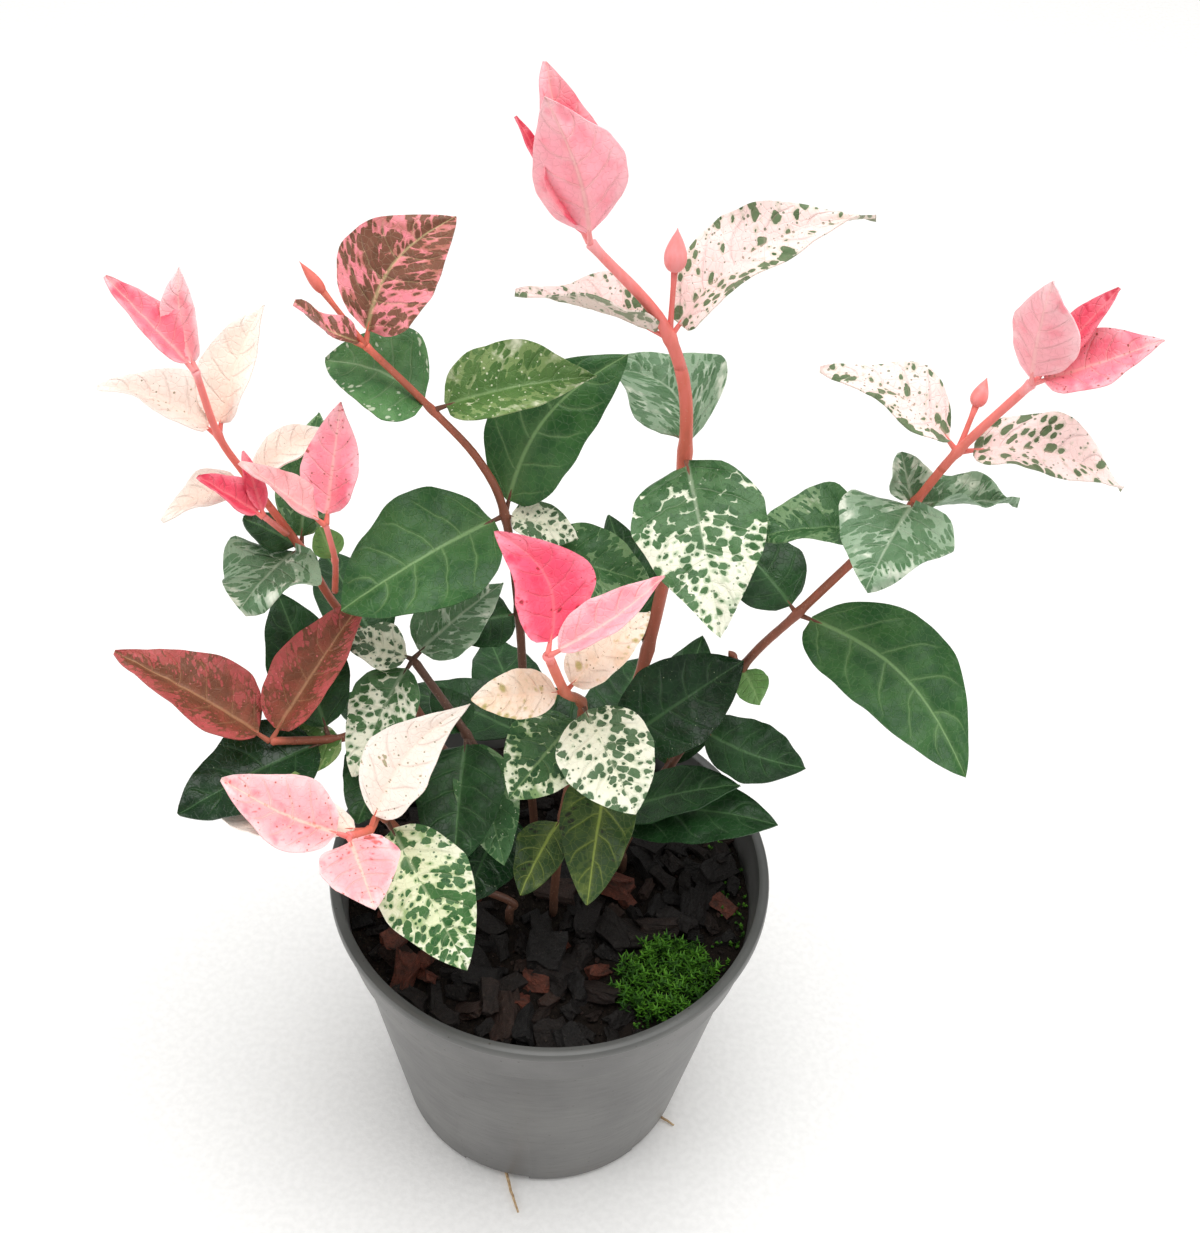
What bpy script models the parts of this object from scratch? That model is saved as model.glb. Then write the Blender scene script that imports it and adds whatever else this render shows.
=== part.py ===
"""A potted asiatic jasmine with variegated leaves, in a nine-centimetre nursery pot.

The origin is the middle of the pot's flat underside, with +Z up and the plant's fullest side towards -Y.
Shoots are smooth curves through hand-chosen points, and every leaf is one row of a schedule.
"""
import math
import random
from collections import namedtuple

import bmesh
import bpy
from mathutils import Euler, Matrix, Vector

MM = 0.001
GAP = 0.0003  # clearance between pieces that touch
GOLDEN_TURN = 2.39996  # radians, spreads points evenly over a disc

# Pot: a tapered wall, a collar above it and a narrow lip at the mouth
POT_HEIGHT = 0.073
RIM_RADIUS = 0.045
LIP_WIDTH = 0.0022
LIP_HEIGHT = 0.0024
COLLAR_HEIGHT = 0.0125
COLLAR_FOOT_RADIUS = 0.0425
WALL_TOP_RADIUS = 0.0412
BASE_RADIUS = 0.0312
BASE_CHAMFER = 0.0012
WALL = 0.0013
FLOOR = 0.0016
RIM_ROUNDING = 0.0006
POT_STEPS = 44
DRAIN_COUNT = 5
DRAIN_HEADING = -107  # degrees, the first drain notch
DRAIN_SIZE = (0.009, 0.015, 0.0028)  # along the radius, round the pot, height

# Filling: potting soil, and a layer of bark mulch on it
SOIL_TOP = 0.0600
MULCH_TOP = 0.0640
HOLE_FLOOR = 0.0540
HOLE_CLEARANCE = 0.0005
HOLE_CUT = 0.03  # height of the tool that cuts a hole
HOLE_SIDES = 8
CHIP_SIZE = (0.0095, 0.0062, 0.0034)
CHIP_RINGS = ((36.2, 16, 5), (28.0, 11, 20), (19.0, 5, 0))  # radius in mm, chips, first heading
CHIP_CORNERS = (0.72, 1.0)  # least and most reach of a chip's corners
CHIP_SCALES = (0.8, 1.12)
CHIP_LIFTS = (0.0002, 0.0012)  # of a chip's middle above the mulch
CHIP_TILT = 0.3  # radians at most, each way
CHIP_TURN = 0.5
CHIP_FROM_MOSS = 6  # mm from a chip's middle to the moss and to a stem at least
CHIP_FROM_STEM = 8
MOSS_CENTRE = (24.4, -21.6)
MOSS_RADII = (11.0, 8.2)  # round the pot and along its radius
MOSS_TURN = 48.5
MOSS_HEIGHT = 4.0
MOSS_TUFTS = 20
MOSS_SPREAD = 0.82
TUFT_FOOT = 0.0010
TUFT_TIP = 0.0003
TUFT_LENGTHS = (2.6, 4.0)
TUFT_LEAN = 0.4

# Roots that leave the drain notches and lie on the ground, as points in mm
ROOTS = {
    "root_front": ((-7.6, -26.8, 1.2), (-6.8, -30.0, 1.0), (-5.4, -34.5, 0.5), (-3.8, -38.9, 0.5)),
    "root_right": ((24.2, -13.2, 1.2), (27.5, -14.8, 1.0), (30.5, -16.4, 0.5)),
}
ROOT_RADIUS = 0.4
ROOT_TAPER = 0.2  # of the radius, lost from one point to the next

# Leaves
BLADE = 0.0007
BLADE_WIDEST = 0.39  # of the blade's length
BLADE_ROUNDING = 0.55
TAIL = (0.4, 0.85)  # of the blade's length, where a tail starts to narrow it and where it has done so
WIDE_BLADE = 20  # mm, from which a blade has four columns
PETIOLE = 2.6  # mm at most
PETIOLE_SHARE = 0.09  # of the leaf's length
PETIOLE_WIDTH = 1.3
RIPPLES = 1.6  # waves along each margin
RIPPLE_LAG = 0.25  # of a wave, between the midrib and a margin
STEM_STATIONS = 1.7  # for each stretch between two route points
NODE_SWELLING = 1.25
END_STEP = 0.06  # route share of a stem's last short run, which sets its end square
BUD_STALK = (0.55, 0.5)  # radii in mm
BUD_TAPER = 0.55
BLADE_ROWS = (0.0, 0.14, 0.32, 0.54, 0.78, 1.0)
SHORT_LEAF = 20  # mm, up to which a blade has fewer rows
SHORT_ROWS = (0.0, 0.2, 0.45, 0.75, 1.0)

Leaf = namedtuple("Leaf", "at heading rise length width roll fold curl wave bow tail", defaults=(0, 0))
Bud = namedtuple("Bud", "at heading rise stalk length width")
Section = namedtuple("Section", "name colour start end leaves buds", defaults=((),))
Shoot = namedtuple("Shoot", "foot route radii sections")

# A shoot's route is in mm and each leaf grows at a route point, counted from 0.
# Heading and rise aim the line from the stem to the leaf's tip, in degrees, with heading 0 along +X.
# Roll turns the blade round that line, fold raises both halves, curl bends the tip down.
# Wave is the height of the ripples at the margin and bow the sideways bend of the blade, both in mm.
# Tail is the share by which the blade narrows early to a drawn-out tip.
SHOOTS = (
    Shoot(
        (8, 13),
        ((10, 15, 88), (17, 18, 118), (20.5, 18, 168), (16, 18, 193), (2, 16, 212)),
        (0.95, 0.9, 0.85, 1.2, 1.15, 0.8),
        (
            Section("tall_shoot_green", "green", 0, 2.72, (
                Leaf(0, 75, 5, 29.5, 16, 0, 10, 30, 0.4),
                Leaf(0, 140, 12, 25.5, 14, 0, 10, 30, 0.4),
                Leaf(2, -77, -27, 35, 24, 10, 6, 40, 1.5, 0, 0.3),
                Leaf(2, 125, 4, 27, 22, -6, 24, 20, 1.2, -6.5, 0.2),
                Leaf(1, 116, 45, 28, 12, 0, 10, 15, 0.3),
            )),
            Section("tall_shoot_blush", "blush", 2.72, 3.84, (
                Leaf(3, 178, 15, 27, 15, 12, 40, 20, 0.6, 0, 0.45),
                Leaf(3, 11, 33, 39.5, 16.8, 15, 25, 35, 1.0, 4.2, 0.45),
            ), (Bud(3, 90, 80, 12, 6.5, 3.8),)),
            Section("tall_shoot_pink", "pink", 3.84, 4, (
                Leaf(4, -175, 73, 27, 17.5, 90, 30, -35, 0.2, 1.6, 0.2),
                Leaf(4, 127, 62, 28.5, 15, 0, 30, -20, 0.3, 0, 0.25),
                Leaf(4, 145, 47, 22.5, 4.5, 0, 20, 0, 0),
            )),
        ),
    ),
    Shoot(
        (15, 7),
        (
            (22, 9, 92), (35, 12, 121), (43.5, 10, 138), (56, 8, 161), (59.5, 7, 168), (64.6, 5, 182),
            (73, 2, 199),
        ),
        (1.1, 0.9, 0.8, 0.75),
        (
            Section("right_shoot_green", "green", 0, 4.72, (
                Leaf(0, 72, 42, 29.5, 15, 0, 10, 25, 0.4),
                Leaf(0.45, -18, -8, 23, 14, 14, 10, 25, 0.4, -2),
                Leaf(1, -55, -35, 8, 8, 0, 10, 20, 0.2),
                Leaf(2, -44, -15, 43, 20.5, 24, 8, 20, 0.5, 5),
                Leaf(2, 135, 20, 21.5, 16, -10, 12, 25, 0.4),
                Leaf(3, -170, 2, 23.5, 16, 0, 25, 30, 0.8),
                Leaf(4.1, -118, -12, 21.5, 21, 0, 10, 45, 1.5, 0, 0.2),
                Leaf(4, 2, 4, 18.5, 12, -5, 45, 10, 1.2, 0, 0.3),
                Leaf(4, 115, 50, 9.5, 9, 0, 25, 10, 0.6),
            ), (Bud(1, -150, 60, 4, 3, 1.6),)),
            Section("right_shoot_blush", "blush", 4.72, 5.84, (
                Leaf(5, 160, 20, 27.5, 13.5, -10, 20, 45, 0.6, -1.5, 0.35),
                Leaf(5, -16, 0, 27.5, 14, 14, 25, 15, 1.0, 3, 0.1),
            ), (Bud(5, 60, 55, 8, 4.4, 2.8),)),
            Section("right_shoot_pink", "pink", 5.84, 6, (
                Leaf(6, -130, 84, 20.5, 13, 0, 25, -25, 0.3, 0, 0.2),
                Leaf(6, -5, 30, 21, 12, 20, 25, -15, 0.3, 0, 0.2),
                Leaf(6, 25, 50, 19.5, 6, 0, 20, 0, 0),
            )),
        ),
    ),
    Shoot(
        (-4, 14),
        (
            (-6, 15, 95), (-8, 15, 130), (-10.9, 15, 154.7), (-15.5, 15, 167), (-23.5, 15, 177.8),
            (-34.2, 14, 191.5),
        ),
        (0.95, 0.85, 0.6),
        (
            Section("back_shoot_green", "green", 0, 4.8, (
                Leaf(0, 110, 5, 27.5, 15, 0, 10, 30, 0.4),
                Leaf(0, 165, 10, 27.5, 15, 0, 10, 30, 0.4),
                Leaf(1, -160, -5, 14.5, 13, -15, 10, 30, 0.4),
                Leaf(1.6, -12, -5, 27.5, 15, 20, 15, 30, 0.6),
                Leaf(2, -147, -14, 34.5, 23, -20, 10, 30, 0.5),
                Leaf(2, 35, 46, 36.5, 18, 34, 10, 20, 0.5, 4.5),
                Leaf(4, 172, 22, 20, 19, -15, 12, 30, 0.6, -1.8),
                Leaf(4, 7, 12, 29, 17, 20, 30, 30, 0.6, 0, 0.2),
                Leaf(2, -8, -14, 14, 10, 5, 10, 20, 0.4),
            )),
            Section("back_shoot_bronze", "bronze", 4.8, 5, (
                Leaf(5, 38, 45, 26, 18, 27, 10, 20, 0.4, 3.6, 0.1),
                Leaf(5, 175, 32, 13.5, 7, 10, 40, 20, 0.5, 3.5),
            ), (Bud(5, 160, 50, 11, 5.5, 1.9),)),
        ),
    ),
    Shoot(
        (-10, 8),
        (
            (-22, 10, 95), (-34, 11, 121), (-42, 10, 135.6), (-47, 9, 150), (-54.5, 7, 167.6),
            (-58.4, 6, 177.6), (-60, 3, 193),
        ),
        (0.9, 0.8, 0.6),
        (
            Section("left_shoot_green", "green", 0, 3.6, (
                Leaf(0, 150, 0, 27.5, 15, 0, 10, 30, 0.4),
                Leaf(1, 120, 10, 27.5, 15, 0, 10, 30, 0.4),
                Leaf(3, 80, 52, 24.5, 12, -15, 12, 15, 0.4),
                Leaf(3, 165, 20, 11.5, 10, 5, 12, 15, 0.4),
                Leaf(3, -120, -5, 17.5, 20, 10, 8, 30, 1.8),
            )),
            Section("left_shoot_cream", "cream", 3.6, 5.84, (
                Leaf(4, -150, -12, 16.5, 9, -5, 20, 25, 0.4, 0, 0.3),
                Leaf(4, 28, 22, 16.5, 8, 5, 20, 25, 0.4, 0, 0.2),
                Leaf(5, 60, 51, 23, 12, 0, 30, 10, 0.4, 1, 0.2),
                Leaf(5, 178, 25, 21, 13, -8, 35, 15, 0.4, -1.5, 0.3),
            )),
            Section("left_shoot_pink", "pink", 5.84, 6, (
                Leaf(6, 160, 44, 20, 9.5, -5, 35, 0, 0.3, 0, 0.2),
                Leaf(6, 107, 60, 16.5, 7, -25, 30, 0, 0.3, 1),
            )),
        ),
    ),
    Shoot(
        None,
        ((-48.8, 6.6, 155.5), (-50.5, -2, 167)),
        (0.6, 0.5),
        (
            Section("left_twig_outer", "pink", 0, 1, (
                Leaf(1, 171, 32, 12.8, 8, -5, 35, 0, 0.3),
                Leaf(1, 120, 50, 11.5, 4, 0, 35, 0, 0.3),
            )),
        ),
    ),
    Shoot(
        None,
        ((-41.2, 7.6, 141), (-40, 3, 153), (-40.6, 0, 164)),
        (0.6, 0.5),
        (
            Section("left_twig_inner", "pink", 0, 2, (
                Leaf(1, 128, 40, 6.5, 6, 10, 10, 0, 0),
                Leaf(2, 178, 44, 18.5, 9, 0, 30, 0, 0.3, 0, 0.3),
                Leaf(2, 80, 54, 21, 11, -10, 15, 0, 0.3, 0, 0.2),
            )),
        ),
    ),
    Shoot(
        (-12, 0),
        ((-18, -1, 88), (-29, -4, 115.6), (-41.6, -8, 118), (-51.7, -12, 121.5)),
        (0.9, 0.75),
        (
            Section("bronze_shoot_green", "green", 0, 2.6, (
                Leaf(2, 118, 34, 29.5, 15, 0, 12, 20, 0.4),
                Leaf(2, -149, -9, 30.5, 18, -10, 10, 25, 0.5),
                Leaf(1.7, -155, -11, 20, 12, 0, 10, 25, 0.5),
                Leaf(1, -112, -20, 19, 14, 5, 10, 25, 0.4),
            )),
            Section("bronze_shoot_tip", "bronze", 2.6, 3, (
                Leaf(3, 168, 29, 32, 17.5, -3, 28, 15, 0.6, 0, 0.25),
                Leaf(3, 50, 37, 32.5, 15, 6, 32, 10, 0.5, 0, 0.25),
            )),
        ),
    ),
    Shoot(
        (-8, -8),
        ((-21.5, -10.5, 83), (-30.5, -20, 110.7), (-32.6, -25.5, 114), (-35.8, -29.5, 117)),
        (0.9, 0.7),
        (
            Section("front_left_green", "green", 0, 1.25, (
                Leaf(1, -53, -30, 31.5, 18.5, 10, 8, 20, 0.6, 0, 0.1),
            )),
            Section("front_left_cream", "cream", 1.25, 2.8, (
                Leaf(2, 44, 35, 29, 14, 17, 15, 15, 0.4, 3, 0.5),
                Leaf(2, 169, -6, 30, 12, 5, 15, 15, 0.4, 2),
            )),
            Section("front_left_pink", "pink", 2.8, 3, (
                Leaf(3, 170, 23, 24.5, 15, -10, 15, 10, 0.4, 1.5, 0.2),
                Leaf(3, -67, -8, 15.5, 15, 0, 15, 20, 0.4, 0, 0.2),
            )),
        ),
    ),
    Shoot(
        (1, -5),
        ((2, -5, 95), (4.7, -8, 128), (1.2, -14, 140), (-1.9, -20, 155)),
        (0.9, 0.85),
        (
            Section("front_shoot_green", "green", 0, 1.6, (
                Leaf(0, -121, -32, 17.5, 11, 10, 8, 25, 0.3),
                Leaf(1.25, -58, -28, 22.5, 17.5, 18, 8, 25, 0.3),
                Leaf(1, -133, -25, 20.5, 16, -10, 8, 25, 0.3),
            )),
            Section("front_shoot_cream", "cream", 1.6, 2.84, (
                Leaf(2, -170, 0, 16.5, 9, -30, 10, 15, 0.2),
                Leaf(2, 33, 34, 20.5, 11, 3, 15, 15, 0.4),
            )),
            Section("front_shoot_pink", "pink", 2.84, 3, (
                Leaf(3, 127, 45, 22.5, 16, -8, 20, 0, 0.3, -5, 0.25),
                Leaf(3, 24, 29, 23.5, 10, 8, 38, 0, 0.3, -1.2, 0.2),
            )),
        ),
    ),
    Shoot(
        (9, 2),
        ((10, 1, 88), (11, -2, 112)),
        (0.9, 0.8),
        (
            Section("inner_right", "green", 0, 1, (
                Leaf(0, -9, 10, 35.5, 16, 14, 10, 25, 0.3, 1.5),
                Leaf(0, -7, 30, 30.5, 13, 5, 10, 25, 0.3),
                Leaf(1, 25, 28, 30, 18, 28, 10, 25, 0.4),
                Leaf(1, -99, -36, 30, 14.5, 12, 10, 25, 0.6),
            )),
        ),
    ),
    Shoot(
        (-5, 2),
        ((-9, 1, 90), (-17, 0, 112), (-27, 3, 129)),
        (0.9, 0.8),
        (
            Section("inner_left", "green", 0, 2, (
                Leaf(0, -112, -22, 21.5, 16, -8, 10, 25, 0.4),
                Leaf(1, -67, -34, 26, 12, 0, 10, 25, 0.4),
                Leaf(1, 140, 34, 11, 9, -5, 10, 25, 0.4),
                Leaf(2, 34, 27, 22, 14.5, 10, 10, 25, 0.4, 0, 0.3),
                Leaf(2, -119, -34, 24.5, 14, 5, 10, 25, 0.4, 0, 0.2),
                Leaf(2, 175, 14, 13.5, 11, -5, 10, 25, 0.4),
                Leaf(1, -92, -25, 26, 17, 5, 10, 25, 0.4),
            )),
        ),
    ),
)

ROOTED = tuple(shoot for shoot in SHOOTS if shoot.foot)

# Colour, roughness and coat of each material
MATERIALS = {
    "pot": ((0.085, 0.087, 0.089), 0.42, 0.0),
    "soil": ((0.018, 0.012, 0.009), 0.95, 0.0),
    "bark": ((0.035, 0.018, 0.012), 0.8, 0.0),
    "moss": ((0.10, 0.26, 0.02), 0.9, 0.0),
    "root": ((0.55, 0.42, 0.26), 0.7, 0.0),
    "green": ((0.03, 0.13, 0.04), 0.4, 0.2),
    "blush": ((0.85, 0.62, 0.58), 0.45, 0.1),
    "cream": ((0.86, 0.76, 0.60), 0.45, 0.1),
    "pink": ((0.85, 0.22, 0.28), 0.45, 0.1),
    "bronze": ((0.30, 0.06, 0.04), 0.4, 0.2),
}


def clear_scene():
    for item in list(bpy.data.objects):
        bpy.data.objects.remove(item, do_unlink=True)


def make_collection(name):
    made = bpy.data.collections.new(name)
    bpy.context.scene.collection.children.link(made)
    return made


def make_material(name):
    colour, roughness, coat = MATERIALS[name]
    made = bpy.data.materials.new(name)
    made.use_nodes = True
    shader = made.node_tree.nodes["Principled BSDF"]
    shader.inputs["Base Color"].default_value = (*colour, 1.0)
    shader.inputs["Roughness"].default_value = roughness
    shader.inputs["Metallic"].default_value = 0.0
    shader.inputs["Coat Weight"].default_value = coat
    made.diffuse_color = (*colour, 1.0)
    return made


def add_object(name, data, collection, material=None):
    made = bpy.data.objects.new(name, data)
    collection.objects.link(made)
    if material:
        made.data.materials.append(material)
    return made


def mesh_from(name, bm):
    made = bpy.data.meshes.new(name)
    bm.to_mesh(made)
    bm.free()
    return made


def freeze(item):
    """Replace an object's data by its evaluated mesh, with a curve's loose caps welded."""
    evaluated = item.evaluated_get(bpy.context.evaluated_depsgraph_get())
    mesh = bpy.data.meshes.new_from_object(evaluated)
    bm = bmesh.new()
    bm.from_mesh(mesh)
    bmesh.ops.remove_doubles(bm, verts=bm.verts, dist=1e-6)
    bm.to_mesh(mesh)
    bm.free()
    if item.type == "MESH":
        item.modifiers.clear()
        item.data = mesh
        return item
    made = bpy.data.objects.new(item.name, mesh)
    made.matrix_world = item.matrix_world
    item.users_collection[0].objects.link(made)
    name = item.name
    bpy.data.objects.remove(item, do_unlink=True)
    made.name = name
    return made


def boolean(item, operand, operation, solver="EXACT"):
    """Apply one Boolean with an object or a collection, then remove what it used up."""
    cut = item.modifiers.new(operation.title(), "BOOLEAN")
    cut.operation = operation
    cut.solver = solver
    if isinstance(operand, bpy.types.Collection):
        cut.operand_type = "COLLECTION"
        cut.collection = operand
    else:
        cut.object = operand
    bpy.context.view_layer.update()
    made = freeze(item)
    used = list(operand.objects) if isinstance(operand, bpy.types.Collection) else [operand]
    for helper in used:
        bpy.data.objects.remove(helper, do_unlink=True)
    return made


def turned(name, profile, collection, material):
    """A solid turned round Z from (radius, height) points that run down its outer side."""
    bm = bmesh.new()
    points = [bm.verts.new((radius, 0, height)) for radius, height in profile]
    for first, second in zip(points, points[1:]):
        bm.edges.new((first, second))
    made = add_object(name, mesh_from(name, bm), collection, material)
    screw = made.modifiers.new("Turn", "SCREW")
    screw.steps = POT_STEPS
    screw.render_steps = POT_STEPS
    screw.use_merge_vertices = True
    screw.merge_threshold = 1e-5
    return freeze(made)


def wall_radius(height, inset=0.0):
    """Radius of the pot's tapered lower wall at a height, less an inset."""
    share = height / (POT_HEIGHT - COLLAR_HEIGHT)
    return BASE_RADIUS + (WALL_TOP_RADIUS - BASE_RADIUS) * share - inset


def collar_radius(height, inset=0.0):
    share = (POT_HEIGHT - height) / COLLAR_HEIGHT
    lip_foot = RIM_RADIUS - RIM_ROUNDING
    return lip_foot + (COLLAR_FOOT_RADIUS - lip_foot) * share - inset


def inner_radius(height):
    """Radius of the pot's bore at a height."""
    if height < POT_HEIGHT - COLLAR_HEIGHT + WALL:
        return wall_radius(height, WALL)
    return collar_radius(height, WALL)


def make_pot(collection, helpers):
    step = POT_HEIGHT - COLLAR_HEIGHT
    profile = (
        (0, FLOOR),
        (wall_radius(FLOOR, WALL), FLOOR),
        (wall_radius(step, WALL), step),
        (collar_radius(step + WALL, WALL), step + WALL),
        (RIM_RADIUS - LIP_WIDTH, POT_HEIGHT - RIM_ROUNDING),
        (RIM_RADIUS - LIP_WIDTH + RIM_ROUNDING, POT_HEIGHT),
        (RIM_RADIUS - RIM_ROUNDING, POT_HEIGHT),
        (RIM_RADIUS, POT_HEIGHT - RIM_ROUNDING),
        (RIM_RADIUS, POT_HEIGHT - LIP_HEIGHT),
        (collar_radius(POT_HEIGHT - LIP_HEIGHT), POT_HEIGHT - LIP_HEIGHT - RIM_ROUNDING / 2),
        (collar_radius(step), step),
        (WALL_TOP_RADIUS, step - RIM_ROUNDING),
        (wall_radius(BASE_CHAMFER), BASE_CHAMFER),
        (BASE_RADIUS - BASE_CHAMFER, 0),
        (0, 0),
    )
    pot = turned("nursery_pot", profile, collection, make_material("pot"))
    for notch in range(DRAIN_COUNT):
        heading = math.radians(DRAIN_HEADING + notch * 360 / DRAIN_COUNT)
        bm = bmesh.new()
        bmesh.ops.create_cube(bm, size=1)
        bmesh.ops.scale(bm, vec=(DRAIN_SIZE[0], DRAIN_SIZE[1], 2 * DRAIN_SIZE[2]), verts=bm.verts)
        cutter = add_object("drain_cutter", mesh_from("drain_cutter", bm), helpers)
        cutter.location = (BASE_RADIUS * math.cos(heading), BASE_RADIUS * math.sin(heading), 0)
        cutter.rotation_euler = (0, 0, heading)
    boolean(pot, helpers, "DIFFERENCE")
    return pot


def hole_cutters(helpers):
    """Plain round holes for the stems, from their feet up through the mulch."""
    for shoot in ROOTED:
        bm = bmesh.new()
        radius = shoot.radii[0] * MM + HOLE_CLEARANCE
        sizes = {"radius1": radius, "radius2": radius, "depth": HOLE_CUT}
        bmesh.ops.create_cone(bm, cap_ends=True, segments=HOLE_SIDES, **sizes)
        bmesh.ops.translate(bm, vec=(0, 0, HOLE_FLOOR + HOLE_CUT / 2), verts=bm.verts)
        cutter = add_object("hole_cutter", mesh_from("hole_cutter", bm), helpers)
        cutter.location = (shoot.foot[0] * MM, shoot.foot[1] * MM, 0)


def make_soil(collection, helpers):
    profile = (
        (0, SOIL_TOP),
        (wall_radius(SOIL_TOP, WALL + GAP), SOIL_TOP),
        (wall_radius(FLOOR + GAP, WALL + GAP), FLOOR + GAP),
        (0, FLOOR + GAP),
    )
    soil = turned("potting_soil", profile, collection, make_material("soil"))
    hole_cutters(helpers)
    boolean(soil, helpers, "DIFFERENCE")
    return soil


def chip_spots():
    """Places of the bark chips in mm and their headings: three rings, left open where the moss lies."""
    spots = []
    turn_back = Matrix.Rotation(-math.radians(MOSS_TURN), 2)
    for radius, count, first in CHIP_RINGS:
        for index in range(count):
            heading = math.radians(first + index * 360 / count)
            x, y = radius * math.cos(heading), radius * math.sin(heading)
            away = turn_back @ Vector((x - MOSS_CENTRE[0], y - MOSS_CENTRE[1]))
            across = away.x / (MOSS_RADII[0] + CHIP_FROM_MOSS)
            along = away.y / (MOSS_RADII[1] + CHIP_FROM_MOSS)
            on_moss = math.hypot(across, along) < 1
            near_stem = any(math.hypot(x - s.foot[0], y - s.foot[1]) < CHIP_FROM_STEM for s in ROOTED)
            if not on_moss and not near_stem:
                spots.append((x, y, heading + math.pi / 2))
    return spots


def make_mulch(collection, helpers):
    low = SOIL_TOP + GAP
    profile = (
        (0, MULCH_TOP),
        (inner_radius(MULCH_TOP) - GAP, MULCH_TOP),
        (inner_radius(low) - GAP, low),
        (0, low),
    )
    mulch = turned("bark_mulch", profile, collection, make_material("bark"))
    draw = random.Random(7)
    for x, y, heading in chip_spots():
        bm = bmesh.new()
        bmesh.ops.create_cube(bm, size=1)
        for corner in bm.verts:
            corner.co *= draw.uniform(*CHIP_CORNERS)
        size = [side * draw.uniform(*CHIP_SCALES) for side in CHIP_SIZE]
        bmesh.ops.scale(bm, vec=size, verts=bm.verts)
        chip = add_object("chip", mesh_from("chip", bm), helpers)
        chip.location = (x * MM, y * MM, MULCH_TOP + draw.uniform(*CHIP_LIFTS))
        tilt = (draw.uniform(-CHIP_TILT, CHIP_TILT), draw.uniform(-CHIP_TILT, CHIP_TILT))
        chip.rotation_euler = (*tilt, heading + draw.uniform(-CHIP_TURN, CHIP_TURN))
    boolean(mulch, helpers, "UNION")
    hole_cutters(helpers)
    boolean(mulch, helpers, "DIFFERENCE")
    return mulch


def make_moss(collection, helpers):
    """A low cushion with upright tufts sunk into it, flat below."""
    base = MULCH_TOP + GAP
    bm = bmesh.new()
    bmesh.ops.create_icosphere(bm, subdivisions=2, radius=1)
    bmesh.ops.scale(bm, vec=(MOSS_RADII[0] * MM, MOSS_RADII[1] * MM, MOSS_HEIGHT * MM), verts=bm.verts)
    whole = bm.verts[:] + bm.edges[:] + bm.faces[:]
    cut = bmesh.ops.bisect_plane(bm, geom=whole, plane_co=(0, 0, 0), plane_no=(0, 0, -1), clear_outer=True)
    rim = [item for item in cut["geom_cut"] if isinstance(item, bmesh.types.BMEdge)]
    bmesh.ops.edgeloop_fill(bm, edges=rim)
    bmesh.ops.recalc_face_normals(bm, faces=bm.faces)
    moss = add_object("moss_cushion", mesh_from("moss_cushion", bm), collection, make_material("moss"))
    turn = Matrix.Rotation(math.radians(MOSS_TURN), 4, "Z")
    moss.matrix_world = Matrix.Translation((MOSS_CENTRE[0] * MM, MOSS_CENTRE[1] * MM, base)) @ turn
    draw = random.Random(3)
    for index in range(MOSS_TUFTS):
        share = math.sqrt((index + 0.5) / MOSS_TUFTS) * MOSS_SPREAD
        heading = index * GOLDEN_TURN
        x, y = share * math.cos(heading), share * math.sin(heading)
        height = MOSS_HEIGHT * math.sqrt(1 - share * share)
        tuft = bmesh.new()
        length = draw.uniform(*TUFT_LENGTHS) * MM
        sizes = {"radius1": TUFT_FOOT, "radius2": TUFT_TIP, "depth": length}
        bmesh.ops.create_cone(tuft, cap_ends=True, segments=4, **sizes)
        item = add_object("tuft", mesh_from("tuft", tuft), helpers)
        place = Matrix.Translation(Vector((x * MOSS_RADII[0], y * MOSS_RADII[1], height + 0.2)) * MM)
        lean = Euler((-TUFT_LEAN * y, TUFT_LEAN * x, draw.uniform(0, math.pi / 2))).to_matrix().to_4x4()
        item.matrix_world = moss.matrix_world @ place @ lean
    boolean(moss, helpers, "UNION")
    return moss


def spline_point(route, at):
    """Catmull-Rom point at a route position: 2.5 is halfway from point 2 to point 3."""
    last = len(route) - 1
    index = min(int(at), last - 1)
    t = at - index
    p1, p2 = route[index], route[index + 1]
    p0 = route[index - 1] if index > 0 else p1 + (p1 - p2)
    p3 = route[index + 2] if index + 2 <= last else p2 + (p2 - p1)
    linear = (p2 - p0) * t
    square = (2 * p0 - 5 * p1 + 4 * p2 - p3) * t**2
    cubic = (3 * p1 - p0 - 3 * p2 + p3) * t**3
    return 0.5 * (2 * p1 + linear + square + cubic)


def foot_points(shoot):
    """The upright foot, which stands in the soil's hole. A twig has none: it starts beside its stem."""
    if shoot.foot is None:
        return []
    x, y = shoot.foot
    return [(x, y, HOLE_FLOOR / MM + 0.5), (x, y, 67), (x, y, 71)]


def full_route(shoot):
    return [Vector(point) for point in foot_points(shoot) + list(shoot.route)]


def route_place(shoot, at):
    """Point of a shoot at a position counted along its own route points."""
    return spline_point(full_route(shoot), at + len(foot_points(shoot)))


def tube(name, points, radii, collection, sides=6):
    """A round rod through points in mm, with flat ends."""
    curve = bpy.data.curves.new(name, "CURVE")
    curve.dimensions = "3D"
    curve.bevel_depth = MM
    curve.bevel_resolution = (sides - 4) // 2
    curve.use_fill_caps = True
    spline = curve.splines.new("POLY")
    spline.points.add(len(points) - 1)
    for target, point, radius in zip(spline.points, points, radii):
        target.co = (*(point * MM), 1)
        target.radius = radius
    return freeze(add_object(name, curve, collection))


def make_root(name, points, collection, material):
    radii = [ROOT_RADIUS * (1 - ROOT_TAPER * index) for index in range(len(points))]
    root = tube(name, [Vector(point) for point in points], radii, collection, sides=6)
    root.data.materials.append(material)


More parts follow.
